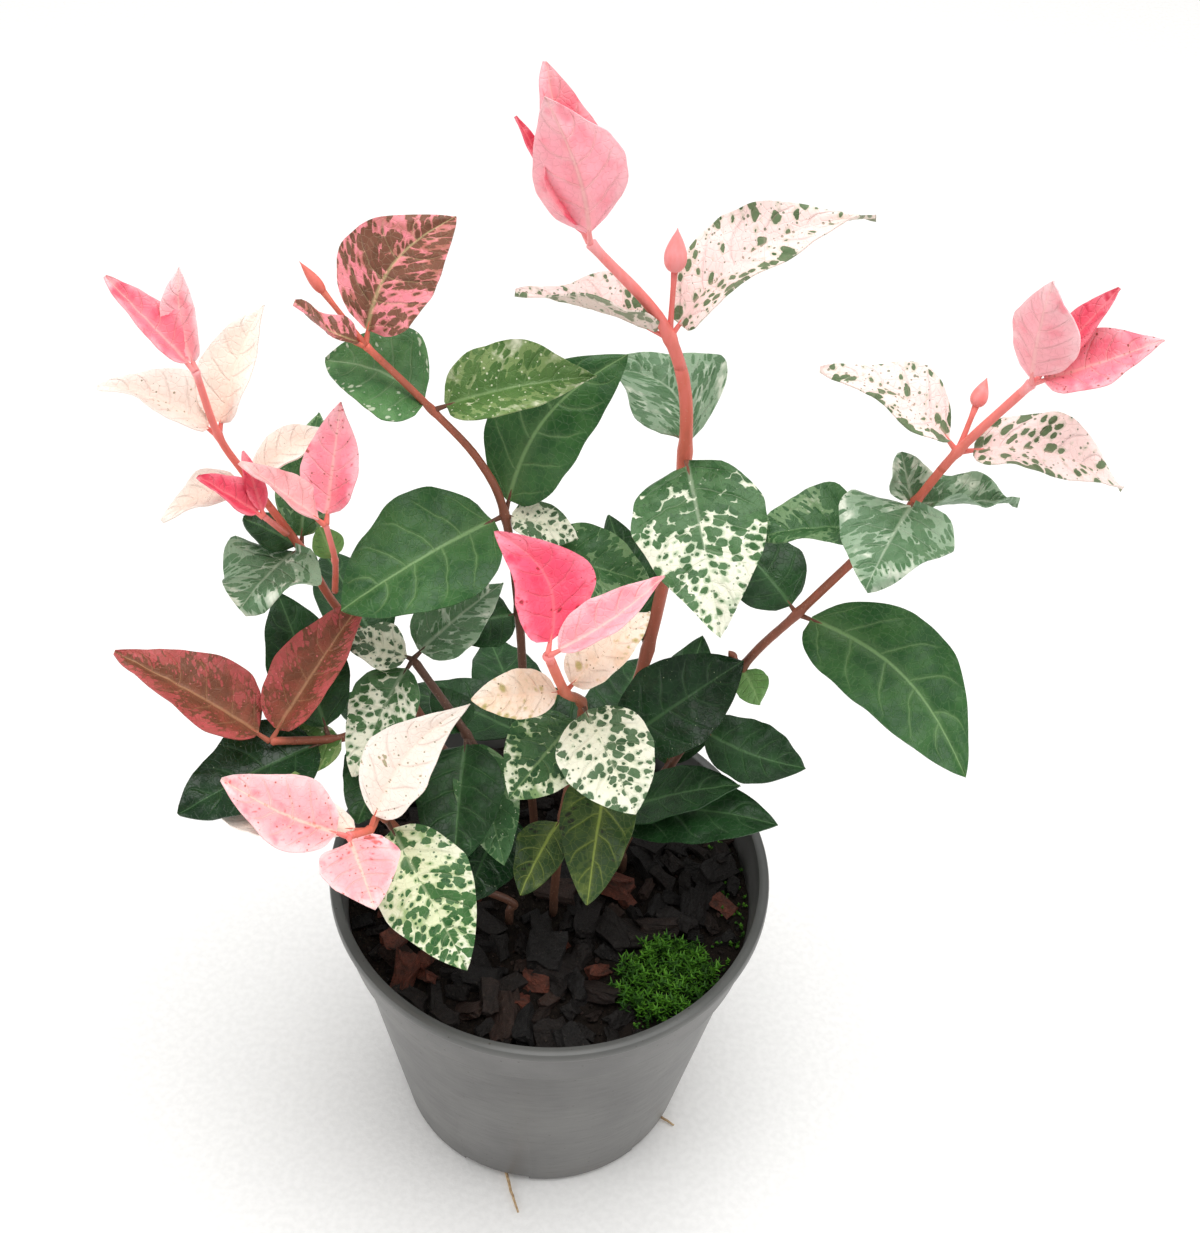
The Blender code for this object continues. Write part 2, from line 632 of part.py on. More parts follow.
def stem_radius(shoot, at, last):
    """Radius in mm at a position of the whole route, over which the shoot's radii are spread evenly."""
    place = at / last * (len(shoot.radii) - 1)
    index = min(int(place), len(shoot.radii) - 2)
    below, above = shoot.radii[index:index + 2]
    return below + (above - below) * (place - index)


def add_stem(name, shoot, section, collection):
    """The stem of one section, ended 0.15 mm short of each neighbour, with a swelling at each leaf pair."""
    route = full_route(shoot)
    last = len(route) - 1
    ahead = len(foot_points(shoot))
    start = 0 if section.start == 0 else section.start + ahead
    end = section.end + ahead
    nodes = sorted({leaf.at + ahead for leaf in section.leaves})
    count = max(2, round((end - start) * STEM_STATIONS))
    stations = {start + (end - start) * step / count for step in range(count + 1)} | set(nodes)
    stations |= {start + END_STEP, end - END_STEP}
    stations = sorted(stations)
    points = [spline_point(route, at) for at in stations]
    radii = [stem_radius(shoot, at, last) * (NODE_SWELLING if at in nodes else 1) for at in stations]
    trim = GAP / MM / 2
    if start > 0:
        points[0] += (points[1] - points[0]).normalized() * trim
    if end < last:
        points[-1] += (points[-2] - points[-1]).normalized() * trim
    return tube(name, points, radii, collection)


def leaf_frame(row):
    """Chord, side and upper directions of a leaf or a bud's stalk."""
    heading, rise = math.radians(row.heading), math.radians(row.rise)
    chord = Vector((math.cos(rise) * math.cos(heading), math.cos(rise) * math.sin(heading), math.sin(rise)))
    side = Vector((-math.sin(heading), math.cos(heading), 0))
    upper = chord.cross(side)
    return chord, side, upper


def blade_half_width(share, tail):
    """Half width of an ovate blade, for a full width of 1, from its base (0) to its pointed tip (1)."""
    drawn = 1 - tail * max(0.0, min(1.0, (share - TAIL[0]) / (TAIL[1] - TAIL[0])))
    point = BLADE_ROUNDING * (1 - BLADE_WIDEST) / BLADE_WIDEST
    peak = BLADE_WIDEST**BLADE_ROUNDING * (1 - BLADE_WIDEST) ** point
    return 0.5 * max(0.0, share) ** BLADE_ROUNDING * max(0.0, 1 - share) ** point / peak * drawn


def petiole_share(row):
    """Share of a leaf's length that its petiole takes."""
    return min(PETIOLE / row.length, PETIOLE_SHARE)


def leaf_point(base, row, along, across):
    """Point of the blade's middle in mm: along from 0 at the stem to 1 at the tip, across from -1 to 1."""
    chord, side, upper = leaf_frame(row)
    roll, curl = math.radians(row.roll), math.radians(row.curl)
    rolled_side = side * math.cos(roll) + upper * math.sin(roll)
    rolled_upper = upper * math.cos(roll) - side * math.sin(roll)
    lean = curl / 2 - curl * along
    if abs(curl) < 1e-3:
        forward, lift = along, 0.0
    else:
        forward = (math.sin(curl / 2) - math.sin(lean)) / curl
        lift = (math.cos(lean) - math.cos(curl / 2)) / curl
    petiole = petiole_share(row)
    share = (along - petiole) / (1 - petiole)
    half = max(row.width * blade_half_width(share, row.tail), PETIOLE_WIDTH / 2 * (1 - 0.5 * max(share, 0)))
    inside = 1.0 if share > 0 else 0.0
    fold = math.radians(row.fold) * inside
    phase = math.tau * (RIPPLES * share + RIPPLE_LAG * across)
    ripple = row.wave * math.sin(phase) * across**2 * inside
    normal = rolled_upper * math.cos(lean) - chord * math.sin(lean)
    spread = half * across * math.cos(fold)
    raised = half * abs(across) * math.sin(fold) + ripple
    spread += row.bow * math.sin(math.pi * along)
    spine = base + (chord * forward + rolled_upper * lift) * row.length
    return spine + rolled_side * spread + normal * raised


def add_leaf(name, base, row, collection):
    """A blade with its petiole as one thin solid, split into like triangles on both faces."""
    columns = 4 if row.width >= WIDE_BLADE else 2
    petiole = petiole_share(row)
    shares = SHORT_ROWS if row.length <= SHORT_LEAF else BLADE_ROWS
    rows = [0.0] + [petiole + share * (1 - petiole) for share in shares]
    bm = bmesh.new()
    bmesh.ops.create_grid(bm, x_segments=len(rows) - 1, y_segments=columns, size=1)
    for vertex in bm.verts:
        step = round((vertex.co.x + 1) / 2 * (len(rows) - 1))
        vertex.co = leaf_point(base, row, rows[step], vertex.co.y) * MM
    bmesh.ops.triangulate(bm, faces=bm.faces)
    made = add_object(name, mesh_from(name, bm), collection)
    shell = made.modifiers.new("Blade", "SOLIDIFY")
    shell.thickness = BLADE
    shell.offset = 0
    return freeze(made)


def add_bud(name, base, row, collection):
    """A closed bud on its stalk."""
    chord = leaf_frame(row)[0]
    top = base + chord * row.stalk
    tube(name + "_stalk", [base, top + chord * row.length / 3], BUD_STALK, collection, sides=4)
    bm = bmesh.new()
    bmesh.ops.create_uvsphere(bm, u_segments=6, v_segments=5, radius=1)
    for vertex in bm.verts:
        taper = 1 - BUD_TAPER * max(vertex.co.z, 0)
        vertex.co.x *= taper * row.width / 2 * MM
        vertex.co.y *= taper * row.width / 2 * MM
        vertex.co.z *= row.length / 2 * MM
    turn = Vector((0, 0, 1)).rotation_difference(chord).to_matrix().to_4x4()
    place = Matrix.Translation((top + chord * row.length / 2) * MM)
    bmesh.ops.transform(bm, matrix=place @ turn, verts=bm.verts)
    add_object(name, mesh_from(name, bm), collection)


def make_section(shoot, section, collection, helpers, material):
    stem = add_stem(section.name, shoot, section, collection)
    stem.data.materials.append(material)
    for index, row in enumerate(section.leaves):
        add_leaf(f"leaf_{index}", route_place(shoot, row.at), row, helpers)
    for index, row in enumerate(section.buds):
        add_bud(f"bud_{index}", route_place(shoot, row.at), row, helpers)
    boolean(stem, helpers, "UNION")
    return stem


def main():
    clear_scene()
    collection = make_collection("potted_asiatic_jasmine")
    helpers = make_collection("cutters")
    make_pot(collection, helpers)
    make_soil(collection, helpers)
    make_mulch(collection, helpers)
    make_moss(collection, helpers)
    root_material = make_material("root")
    for name, points in ROOTS.items():
        make_root(name, points, collection, root_material)
    materials = {name: make_material(name) for name in ("green", "blush", "cream", "pink", "bronze")}
    for shoot in SHOOTS:
        for section in shoot.sections:
            make_section(shoot, section, collection, helpers, materials[section.colour])


main()
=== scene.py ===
"""Looks of a potted asiatic jasmine: its leaves, stems, buds, bark, moss, roots and nursery pot.

The schedule of shoots is in millimetres and degrees, as in the part's source. Other lengths are in metres
where nothing else is said.
"""
import math
import random
from collections import namedtuple

import bmesh
import bpy
from mathutils import Matrix, Vector, noise


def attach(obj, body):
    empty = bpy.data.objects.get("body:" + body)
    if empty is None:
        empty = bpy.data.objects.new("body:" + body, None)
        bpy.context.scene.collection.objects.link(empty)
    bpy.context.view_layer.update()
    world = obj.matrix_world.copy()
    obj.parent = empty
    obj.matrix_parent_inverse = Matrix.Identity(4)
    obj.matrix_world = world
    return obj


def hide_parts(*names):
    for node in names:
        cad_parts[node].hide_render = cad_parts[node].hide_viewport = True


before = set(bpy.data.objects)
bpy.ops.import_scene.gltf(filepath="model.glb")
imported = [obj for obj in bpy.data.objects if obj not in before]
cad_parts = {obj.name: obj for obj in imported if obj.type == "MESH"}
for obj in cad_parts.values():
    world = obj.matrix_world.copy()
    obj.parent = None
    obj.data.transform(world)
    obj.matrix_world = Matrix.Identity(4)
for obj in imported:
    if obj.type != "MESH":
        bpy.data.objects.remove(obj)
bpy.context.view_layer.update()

MM = 0.001
ROOT_BODY = "root"
GOLDEN_TURN = 2.39996  # radians, spreads points evenly over a disc

# The photograph's view: pitch, yaw and roll are in degrees
VIEW_PLACE = (0.0, -0.232, 0.373)
VIEW_YAW = 1.7
VIEW_PITCH = 44.5
VIEW_ROLL = 3.65
VIEW_LENS = 53.5  # mm, with the sensor along the picture's long side

# The pot, its filling and the roots, as the part's source has them
POT_HEIGHT = 0.073
RIM_RADIUS = 0.045
LIP_WIDTH = 0.0022
LIP_HEIGHT = 0.0024
COLLAR_HEIGHT = 0.0125
COLLAR_FOOT_RADIUS = 0.0425
WALL_TOP_RADIUS = 0.0412
BASE_RADIUS = 0.0312
BASE_CHAMFER = 0.0012
WALL = 0.0013
FLOOR = 0.0016
POT_FACES = 160  # round the pot
DRAIN_COUNT = 5
DRAIN_HEADING = -107  # degrees, the first drain notch
DRAIN_SIZE = (0.009, 0.015, 0.0028)  # along the radius, round the pot, height
MULCH_FOOT = 0.0603
MULCH_TOP = 0.0640
MOSS_CENTRE = (24.4, -21.6)
MOSS_RADII = (11.0, 8.2)  # round the pot and along its radius
MOSS_TURN = 48.5
ROOT_PATHS = {
    "root_front": ((-7.6, -26.8, 1.2), (-6.8, -30.0, 1.0), (-5.4, -34.5, 0.5), (-3.8, -38.9, 0.5)),
    "root_right": ((24.2, -13.2, 1.2), (27.5, -14.8, 1.0), (30.5, -16.4, 0.5)),
}
FOOT_HEIGHTS = (54.5, 67, 71)  # mm, the points of a stem's upright foot

# The mulch bed, with sizes in metres
BED_RINGS = 60
BED_FACES = 120  # round the bed
BED_SINK = 0.0006  # below the part's mulch
BED_LUMPS = ((160, 3.0, 0.0009), (620, 8.0, 0.0006))  # turns per metre, a seed and a height
WALL_GAP = 0.0002  # between the filling and the pot's wall

# Bark chips and crumbs, with lengths in mm
CHIP_COUNT = 210
CHIP_SPREAD = 39.5  # farthest from the pot's axis
CHIP_SPARES = (1.0, 3.5)  # clear of the moss and of a stem
LARGE_EACH = 3  # one chip in so many is large
LARGE_LENGTHS = (6.5, 10.5)
SMALL_LENGTHS = (3.2, 6.0)
CHIP_WIDTHS = (0.5, 0.85)  # of a chip's length
CHIP_HEIGHTS = (0.3, 0.5)
CHIP_TONES = (0.05, 0.15, 0.2, 0.25, 0.3, 0.38, 0.45, 0.55, 0.68, 0.85)
NOISE_SHIFTS = (9.3, 31.7, 57.1)  # far enough apart to give unlike values
CRUMB_COUNT = 900
CRUMB_SPREAD = 41.0
CRUMB_SIZES = (0.35, 1.1)

# Moss
MOSS_STEMS = 270
MOSS_HEIGHTS = (0.0024, 0.0052)
MOSS_MOUND = 2.6  # mm
MOSS_LEAVES = 10  # on each stem
MOSS_STEM_WIDTH = 0.00025
MOSS_LEAF_WIDTH = 0.00026
RIM_MOSS_STEMS = 150
RIM_MOSS_HEADINGS = (-62, 62)  # degrees
RIM_MOSS_RADII = (36.0, 41.0)  # mm
RIM_MOSS_HEIGHTS = (0.0008, 0.0018)

# Leaves, with lengths in mm
CELL = 0.9  # the side of a blade's faces
BLADE = 0.34  # a blade's thickness
BLADE_WIDEST = 0.39  # of the blade's length
BLADE_ROUNDING = 0.55
TAIL = (0.4, 0.85)  # of the blade's length, where a tail starts to narrow it and where it has done so
TIP_WIDTH = 0.8
TIP_ROUNDING = 0.05  # of the blade's length, over which the tip closes
LEAST_HALF_WIDTH = 0.1
RAGGED = 0.06  # of the half width, how uneven the margin is
REACH = 0.996  # of a leaf's length, which keeps the tips inside the part
SWELLS = ((0.16, 0.9), (0.45, 0.22))  # turns per mm and height, the first only away from the midrib
PILLOW = 0.34  # height between two side veins
RIB_WIDTH = 0.5
RIB_DEPTHS = (0.16, 0.32)  # of the midrib's groove above and of its ridge below
VEIN_PAIRS = 5.5
VEIN_SLANT = 0.2
VEIN_OFFSET = 0.12  # of the room between two veins: each side of a blade is shifted so far, its own way
PETIOLE = 2.6  # at most
PETIOLE_SHARE = 0.09  # of the leaf's length
PETIOLE_RADIUS = 0.45
PETIOLE_TAPER = (1.25, 0.5)  # of that radius, at the stem and at the blade
PETIOLE_TONGUE = 0.06  # of the leaf's length, which the stalk runs on under the blade
PETIOLE_DROP = 0.22  # the stalk's middle below the blade's
PETIOLE_STEPS = 8

# Stems, buds and roots, with lengths in mm
STEM_SIDES = 14
STEM_STEPS = 14  # between two points of the route
LEAST_STEM_STEPS = 10
STEM_OVERLAP = 0.02  # of the way between two points, into the next section
STEM_UNEVEN = 0.05  # of the radius
NODE_SWELL = (0.28, 0.06)  # of the radius, and of the way between two points
ROD_SIDES = 10  # of petioles, buds' stalks and roots
BUD_STALK_RADII = (0.62, 0.5, 0.46, 0.46, 0.6)
BUD_SIDES = 12
BUD_STEPS = 14
BUD_TIP_RADIUS = 0.05
ROOT_STEPS = 24
ROOT_RADIUS = 0.42
ROOT_WANDER = 0.25

# Studio
FLOOR_HALF = 3  # metres
SENSOR = 36  # mm
CLIP_START = 0.01  # metres
WORLD_STRENGTH = 0.56
# Name, place, the point it faces, width and height in metres, and watts
SOFTBOXES = (
    ("overhead_softbox", (0.05, 0.03, 1.1), (0, 0, 0.1), (0.9, 0.9), 9.6),
    ("left_softbox", (-0.85, -0.25, 0.30), (0, 0, 0.08), (0.5, 0.6), 2.4),
    ("right_softbox", (0.85, -0.15, 0.30), (0, 0, 0.08), (0.5, 0.6), 1.9),
)

Leaf = namedtuple("Leaf", "look at heading rise length width roll fold curl wave bow tail", defaults=(0, 0))
Bud = namedtuple("Bud", "at heading rise stalk length width")
Section = namedtuple("Section", "node slot start end young leaves buds", defaults=((),))
Shoot = namedtuple("Shoot", "foot route radii sections")

# A leaf's columns are those of the part's source, after the name of its look.
# A section's pair of numbers says how young its stem is at each end, from 0, brown wood, to 1, pink.
SHOOTS = (
    Shoot(
        (8, 13),
        ((10, 15, 88), (17, 18, 118), (20.5, 18, 168), (16, 18, 193), (2, 16, 212)),
        (0.95, 0.9, 0.85, 1.2, 1.15, 0.8),
        (
            Section("tall_shoot_green", "leaf_green", 0, 2.72, (0.0, 0.75), (
                Leaf("dark", 0, 75, 5, 29.5, 16, 0, 10, 30, 0.4),
                Leaf("dark", 0, 140, 12, 25.5, 14, 0, 10, 30, 0.4),
                Leaf("marbled", 2, -77, -27, 35, 24, 10, 6, 40, 1.5, 0, 0.3),
                Leaf("silver", 2, 125, 4, 27, 22, -6, 24, 20, 1.2, -6.5, 0.2),
                Leaf("dark", 1, 116, 45, 28, 12, 0, 10, 15, 0.3),
            )),
            Section("tall_shoot_blush", "leaf_blush", 2.72, 3.84, (0.75, 0.9), (
                Leaf("blush", 3, 178, 15, 27, 15, 12, 40, 20, 0.6, 0, 0.45),
                Leaf("blush", 3, 11, 33, 39.5, 16.8, 15, 25, 35, 1.0, 4.2, 0.45),
            ), (Bud(3, 90, 80, 12, 6.5, 3.8),)),
            Section("tall_shoot_pink", "leaf_pink", 3.84, 4, (0.9, 1.0), (
                Leaf("rose", 4, -175, 73, 27, 17.5, 90, 30, -35, 0.2, 1.6, 0.2),
                Leaf("pink", 4, 127, 62, 28.5, 15, 0, 30, -20, 0.3, 0, 0.25),
                Leaf("hot", 4, 145, 47, 22.5, 4.5, 0, 20, 0, 0),
            )),
        ),
    ),
    Shoot(
        (15, 7),
        (
            (22, 9, 92), (35, 12, 121), (43.5, 10, 138), (56, 8, 161), (59.5, 7, 168), (64.6, 5, 182),
            (73, 2, 199),
        ),
        (1.1, 0.9, 0.8, 0.75),
        (
            Section("right_shoot_green", "leaf_green", 0, 4.72, (0.0, 0.72), (
                Leaf("dark", 0, 72, 42, 29.5, 15, 0, 10, 25, 0.4),
                Leaf("dark", 0.45, -18, -8, 23, 14, 14, 10, 25, 0.4, -2),
                Leaf("fresh", 1, -55, -35, 8, 8, 0, 10, 20, 0.2),
                Leaf("veined", 2, -44, -15, 43, 20.5, 24, 8, 20, 0.5, 5),
                Leaf("dark", 2, 135, 20, 21.5, 16, -10, 12, 25, 0.4),
                Leaf("edged", 3, -170, 2, 23.5, 16, 0, 25, 30, 0.8),
                Leaf("silver", 4.1, -118, -12, 21.5, 21, 0, 10, 45, 1.5, 0, 0.2),
                Leaf("silver", 4, 2, 4, 18.5, 12, -5, 45, 10, 1.2, 0, 0.3),
                Leaf("silver", 4, 115, 50, 9.5, 9, 0, 25, 10, 0.6),
            ), (Bud(1, -150, 60, 4, 3, 1.6),)),
            Section("right_shoot_blush", "leaf_blush", 4.72, 5.84, (0.72, 0.85), (
                Leaf("blush", 5, 160, 20, 27.5, 13.5, -10, 20, 45, 0.6, -1.5, 0.35),
                Leaf("blush", 5, -16, 0, 27.5, 14, 14, 25, 15, 1.0, 3, 0.1),
            ), (Bud(5, 60, 55, 8, 4.4, 2.8),)),
            Section("right_shoot_pink", "leaf_pink", 5.84, 6, (0.85, 1.0), (
                Leaf("pale", 6, -130, 84, 20.5, 13, 0, 25, -25, 0.3, 0, 0.2),
                Leaf("freckled", 6, -5, 30, 21, 12, 20, 25, -15, 0.3, 0, 0.2),
                Leaf("hot", 6, 25, 50, 19.5, 6, 0, 20, 0, 0),
            )),
        ),
    ),
    Shoot(
        (-4, 14),
        (
            (-6, 15, 95), (-8, 15, 130), (-10.9, 15, 154.7), (-15.5, 15, 167), (-23.5, 15, 177.8),
            (-34.2, 14, 191.5),
        ),
        (0.95, 0.85, 0.6),
        (
            Section("back_shoot_green", "leaf_green", 0, 4.8, (0.0, 0.6), (
                Leaf("dark", 0, 110, 5, 27.5, 15, 0, 10, 30, 0.4),
                Leaf("dark", 0, 165, 10, 27.5, 15, 0, 10, 30, 0.4),
                Leaf("dark", 1, -160, -5, 14.5, 13, -15, 10, 30, 0.4),
                Leaf("edged", 1.6, -12, -5, 27.5, 15, 20, 15, 30, 0.6),
                Leaf("veined", 2, -147, -14, 34.5, 23, -20, 10, 30, 0.5),
                Leaf("veined", 2, 35, 46, 36.5, 18, 34, 10, 20, 0.5, 4.5),
                Leaf("leafy", 4, 172, 22, 20, 19, -15, 12, 30, 0.6, -1.8),
                Leaf("olive", 4, 7, 12, 29, 17, 20, 30, 30, 0.6, 0, 0.2),
                Leaf("spotted", 2, -8, -14, 14, 10, 5, 10, 20, 0.4),
            )),
            Section("back_shoot_bronze", "leaf_bronze", 4.8, 5, (0.6, 0.7), (
                Leaf("mottled", 5, 38, 45, 26, 18, 27, 10, 20, 0.4, 3.6, 0.1),
                Leaf("mottled", 5, 175, 32, 13.5, 7, 10, 40, 20, 0.5, 3.5),
            ), (Bud(5, 160, 50, 11, 5.5, 1.9),)),
        ),
    ),
    Shoot(
        (-10, 8),
        (
            (-22, 10, 95), (-34, 11, 121), (-42, 10, 135.6), (-47, 9, 150), (-54.5, 7, 167.6),
            (-58.4, 6, 177.6), (-60, 3, 193),
        ),
        (0.9, 0.8, 0.6),
        (
            Section("left_shoot_green", "leaf_green", 0, 3.6, (0.0, 0.7), (
                Leaf("dark", 0, 150, 0, 27.5, 15, 0, 10, 30, 0.4),
                Leaf("dark", 1, 120, 10, 27.5, 15, 0, 10, 30, 0.4),
                Leaf("edged", 3, 80, 52, 24.5, 12, -15, 12, 15, 0.4),
                Leaf("dark", 3, 165, 20, 11.5, 10, 5, 12, 15, 0.4),
                Leaf("silver", 3, -120, -5, 17.5, 20, 10, 8, 30, 1.8),
            )),
            Section("left_shoot_cream", "leaf_cream", 3.6, 5.84, (0.7, 0.85), (
                Leaf("cream", 4, -150, -12, 16.5, 9, -5, 20, 25, 0.4, 0, 0.3),
                Leaf("cream", 4, 28, 22, 16.5, 8, 5, 20, 25, 0.4, 0, 0.2),
                Leaf("cream", 5, 60, 51, 23, 12, 0, 30, 10, 0.4, 1, 0.2),
                Leaf("flecked", 5, 178, 25, 21, 13, -8, 35, 15, 0.4, -1.5, 0.3),
            )),
            Section("left_shoot_pink", "leaf_pink", 5.84, 6, (0.85, 1.0), (
                Leaf("pink", 6, 160, 44, 20, 9.5, -5, 35, 0, 0.3, 0, 0.2),
                Leaf("pale", 6, 107, 60, 16.5, 7, -25, 30, 0, 0.3, 1),
            )),
        ),
    ),
    Shoot(
        None,
        ((-48.8, 6.6, 155.5), (-50.5, -2, 167)),
        (0.6, 0.5),
        (
            Section("left_twig_outer", "leaf_pink", 0, 1, (0.7, 0.9), (
                Leaf("hot", 1, 171, 32, 12.8, 8, -5, 35, 0, 0.3),
                Leaf("hot", 1, 120, 50, 11.5, 4, 0, 35, 0, 0.3),
            )),
        ),
    ),
    Shoot(
        None,
        ((-41.2, 7.6, 141), (-40, 3, 153), (-40.6, 0, 164)),
        (0.6, 0.5),
        (
            Section("left_twig_inner", "leaf_pink", 0, 2, (0.6, 0.9), (
                Leaf("fresh", 1, 128, 40, 6.5, 6, 10, 10, 0, 0),
                Leaf("dusty", 2, 178, 44, 18.5, 9, 0, 30, 0, 0.3, 0, 0.3),
                Leaf("freckled", 2, 80, 54, 21, 11, -10, 15, 0, 0.3, 0, 0.2),
            )),
        ),
    ),
    Shoot(
        (-12, 0),
        ((-18, -1, 88), (-29, -4, 115.6), (-41.6, -8, 118), (-51.7, -12, 121.5)),
        (0.9, 0.75),
        (
            Section("bronze_shoot_green", "leaf_green", 0, 2.6, (0.0, 0.45), (
                Leaf("dark", 2, 118, 34, 29.5, 15, 0, 12, 20, 0.4),
                Leaf("glossy", 2, -149, -9, 30.5, 18, -10, 10, 25, 0.5),
                Leaf("olive", 1.7, -155, -11, 20, 12, 0, 10, 25, 0.5),
                Leaf("dark", 1, -112, -20, 19, 14, 5, 10, 25, 0.4),
            )),
            Section("bronze_shoot_tip", "leaf_bronze", 2.6, 3, (0.45, 0.6), (
                Leaf("bronze", 3, 168, 29, 32, 17.5, -3, 28, 15, 0.6, 0, 0.25),
                Leaf("bronze", 3, 50, 37, 32.5, 15, 6, 32, 10, 0.5, 0, 0.25),
            )),
        ),
    ),
    Shoot(
        (-8, -8),
        ((-21.5, -10.5, 83), (-30.5, -20, 110.7), (-32.6, -25.5, 114), (-35.8, -29.5, 117)),
        (0.9, 0.7),
        (
            Section("front_left_green", "leaf_green", 0, 1.25, (0.0, 0.5), (
                Leaf("bold", 1, -53, -30, 31.5, 18.5, 10, 8, 20, 0.6, 0, 0.1),
            )),
            Section("front_left_cream", "leaf_cream", 1.25, 2.8, (0.5, 0.75), (
                Leaf("flecked", 2, 44, 35, 29, 14, 17, 15, 15, 0.4, 3, 0.5),
                Leaf("cream", 2, 169, -6, 30, 12, 5, 15, 15, 0.4, 2),
            )),
            Section("front_left_pink", "leaf_pink", 2.8, 3, (0.75, 0.9), (
                Leaf("shell", 3, 170, 23, 24.5, 15, -10, 15, 10, 0.4, 1.5, 0.2),
                Leaf("shell", 3, -67, -8, 15.5, 15, 0, 15, 20, 0.4, 0, 0.2),
            )),
        ),
    ),
    Shoot(
        (1, -5),
        ((2, -5, 95), (4.7, -8, 128), (1.2, -14, 140), (-1.9, -20, 155)),
        (0.9, 0.85),
        (
            Section("front_shoot_green", "leaf_green", 0, 1.6, (0.0, 0.5), (
                Leaf("yellowing", 0, -121, -32, 17.5, 11, 10, 8, 25, 0.3),
                Leaf("spotted", 1.25, -58, -28, 22.5, 17.5, 18, 8, 25, 0.3),
                Leaf("half", 1, -133, -25, 20.5, 16, -10, 8, 25, 0.3),
            )),
            Section("front_shoot_cream", "leaf_cream", 1.6, 2.84, (0.5, 0.75), (
                Leaf("stained", 2, -170, 0, 16.5, 9, -30, 10, 15, 0.2),
                Leaf("stained", 2, 33, 34, 20.5, 11, 3, 15, 15, 0.4),
            )),
            Section("front_shoot_pink", "leaf_pink", 2.84, 3, (0.75, 0.9), (
                Leaf("blotched", 3, 127, 45, 22.5, 16, -8, 20, 0, 0.3, -5, 0.25),
                Leaf("rose", 3, 24, 29, 23.5, 10, 8, 38, 0, 0.3, -1.2, 0.2),
            )),
        ),
    ),
    Shoot(
        (9, 2),
        ((10, 1, 88), (11, -2, 112)),
        (0.9, 0.8),
        (
            Section("inner_right", "leaf_green", 0, 1, (0.0, 0.1), (
                Leaf("dark", 0, -9, 10, 35.5, 16, 14, 10, 25, 0.3, 1.5),
                Leaf("dark", 0, -7, 30, 30.5, 13, 5, 10, 25, 0.3),
                Leaf("glossy", 1, 25, 28, 30, 18, 28, 10, 25, 0.4),
                Leaf("yellowing", 1, -99, -36, 30, 14.5, 12, 10, 25, 0.6),
            )),
        ),
    ),
    Shoot(
        (-5, 2),
        ((-9, 1, 90), (-17, 0, 112), (-27, 3, 129)),
        (0.9, 0.8),
        (
            Section("inner_left", "leaf_green", 0, 2, (0.0, 0.2), (
                Leaf("glossy", 0, -112, -22, 21.5, 16, -8, 10, 25, 0.4),
                Leaf("edged", 1, -67, -34, 26, 12, 0, 10, 25, 0.4),
                Leaf("dark", 1, 140, 34, 11, 9, -5, 10, 25, 0.4),
                Leaf("silver", 2, 34, 27, 22, 14.5, 10, 10, 25, 0.4, 0, 0.3),
                Leaf("marbled", 2, -119, -34, 24.5, 14, 5, 10, 25, 0.4, 0, 0.2),
                Leaf("spotted", 2, 175, 14, 13.5, 11, -5, 10, 25, 0.4),
                Leaf("dark", 1, -92, -25, 26, 17, 5, 10, 25, 0.4),
            )),
        ),
    ),
)

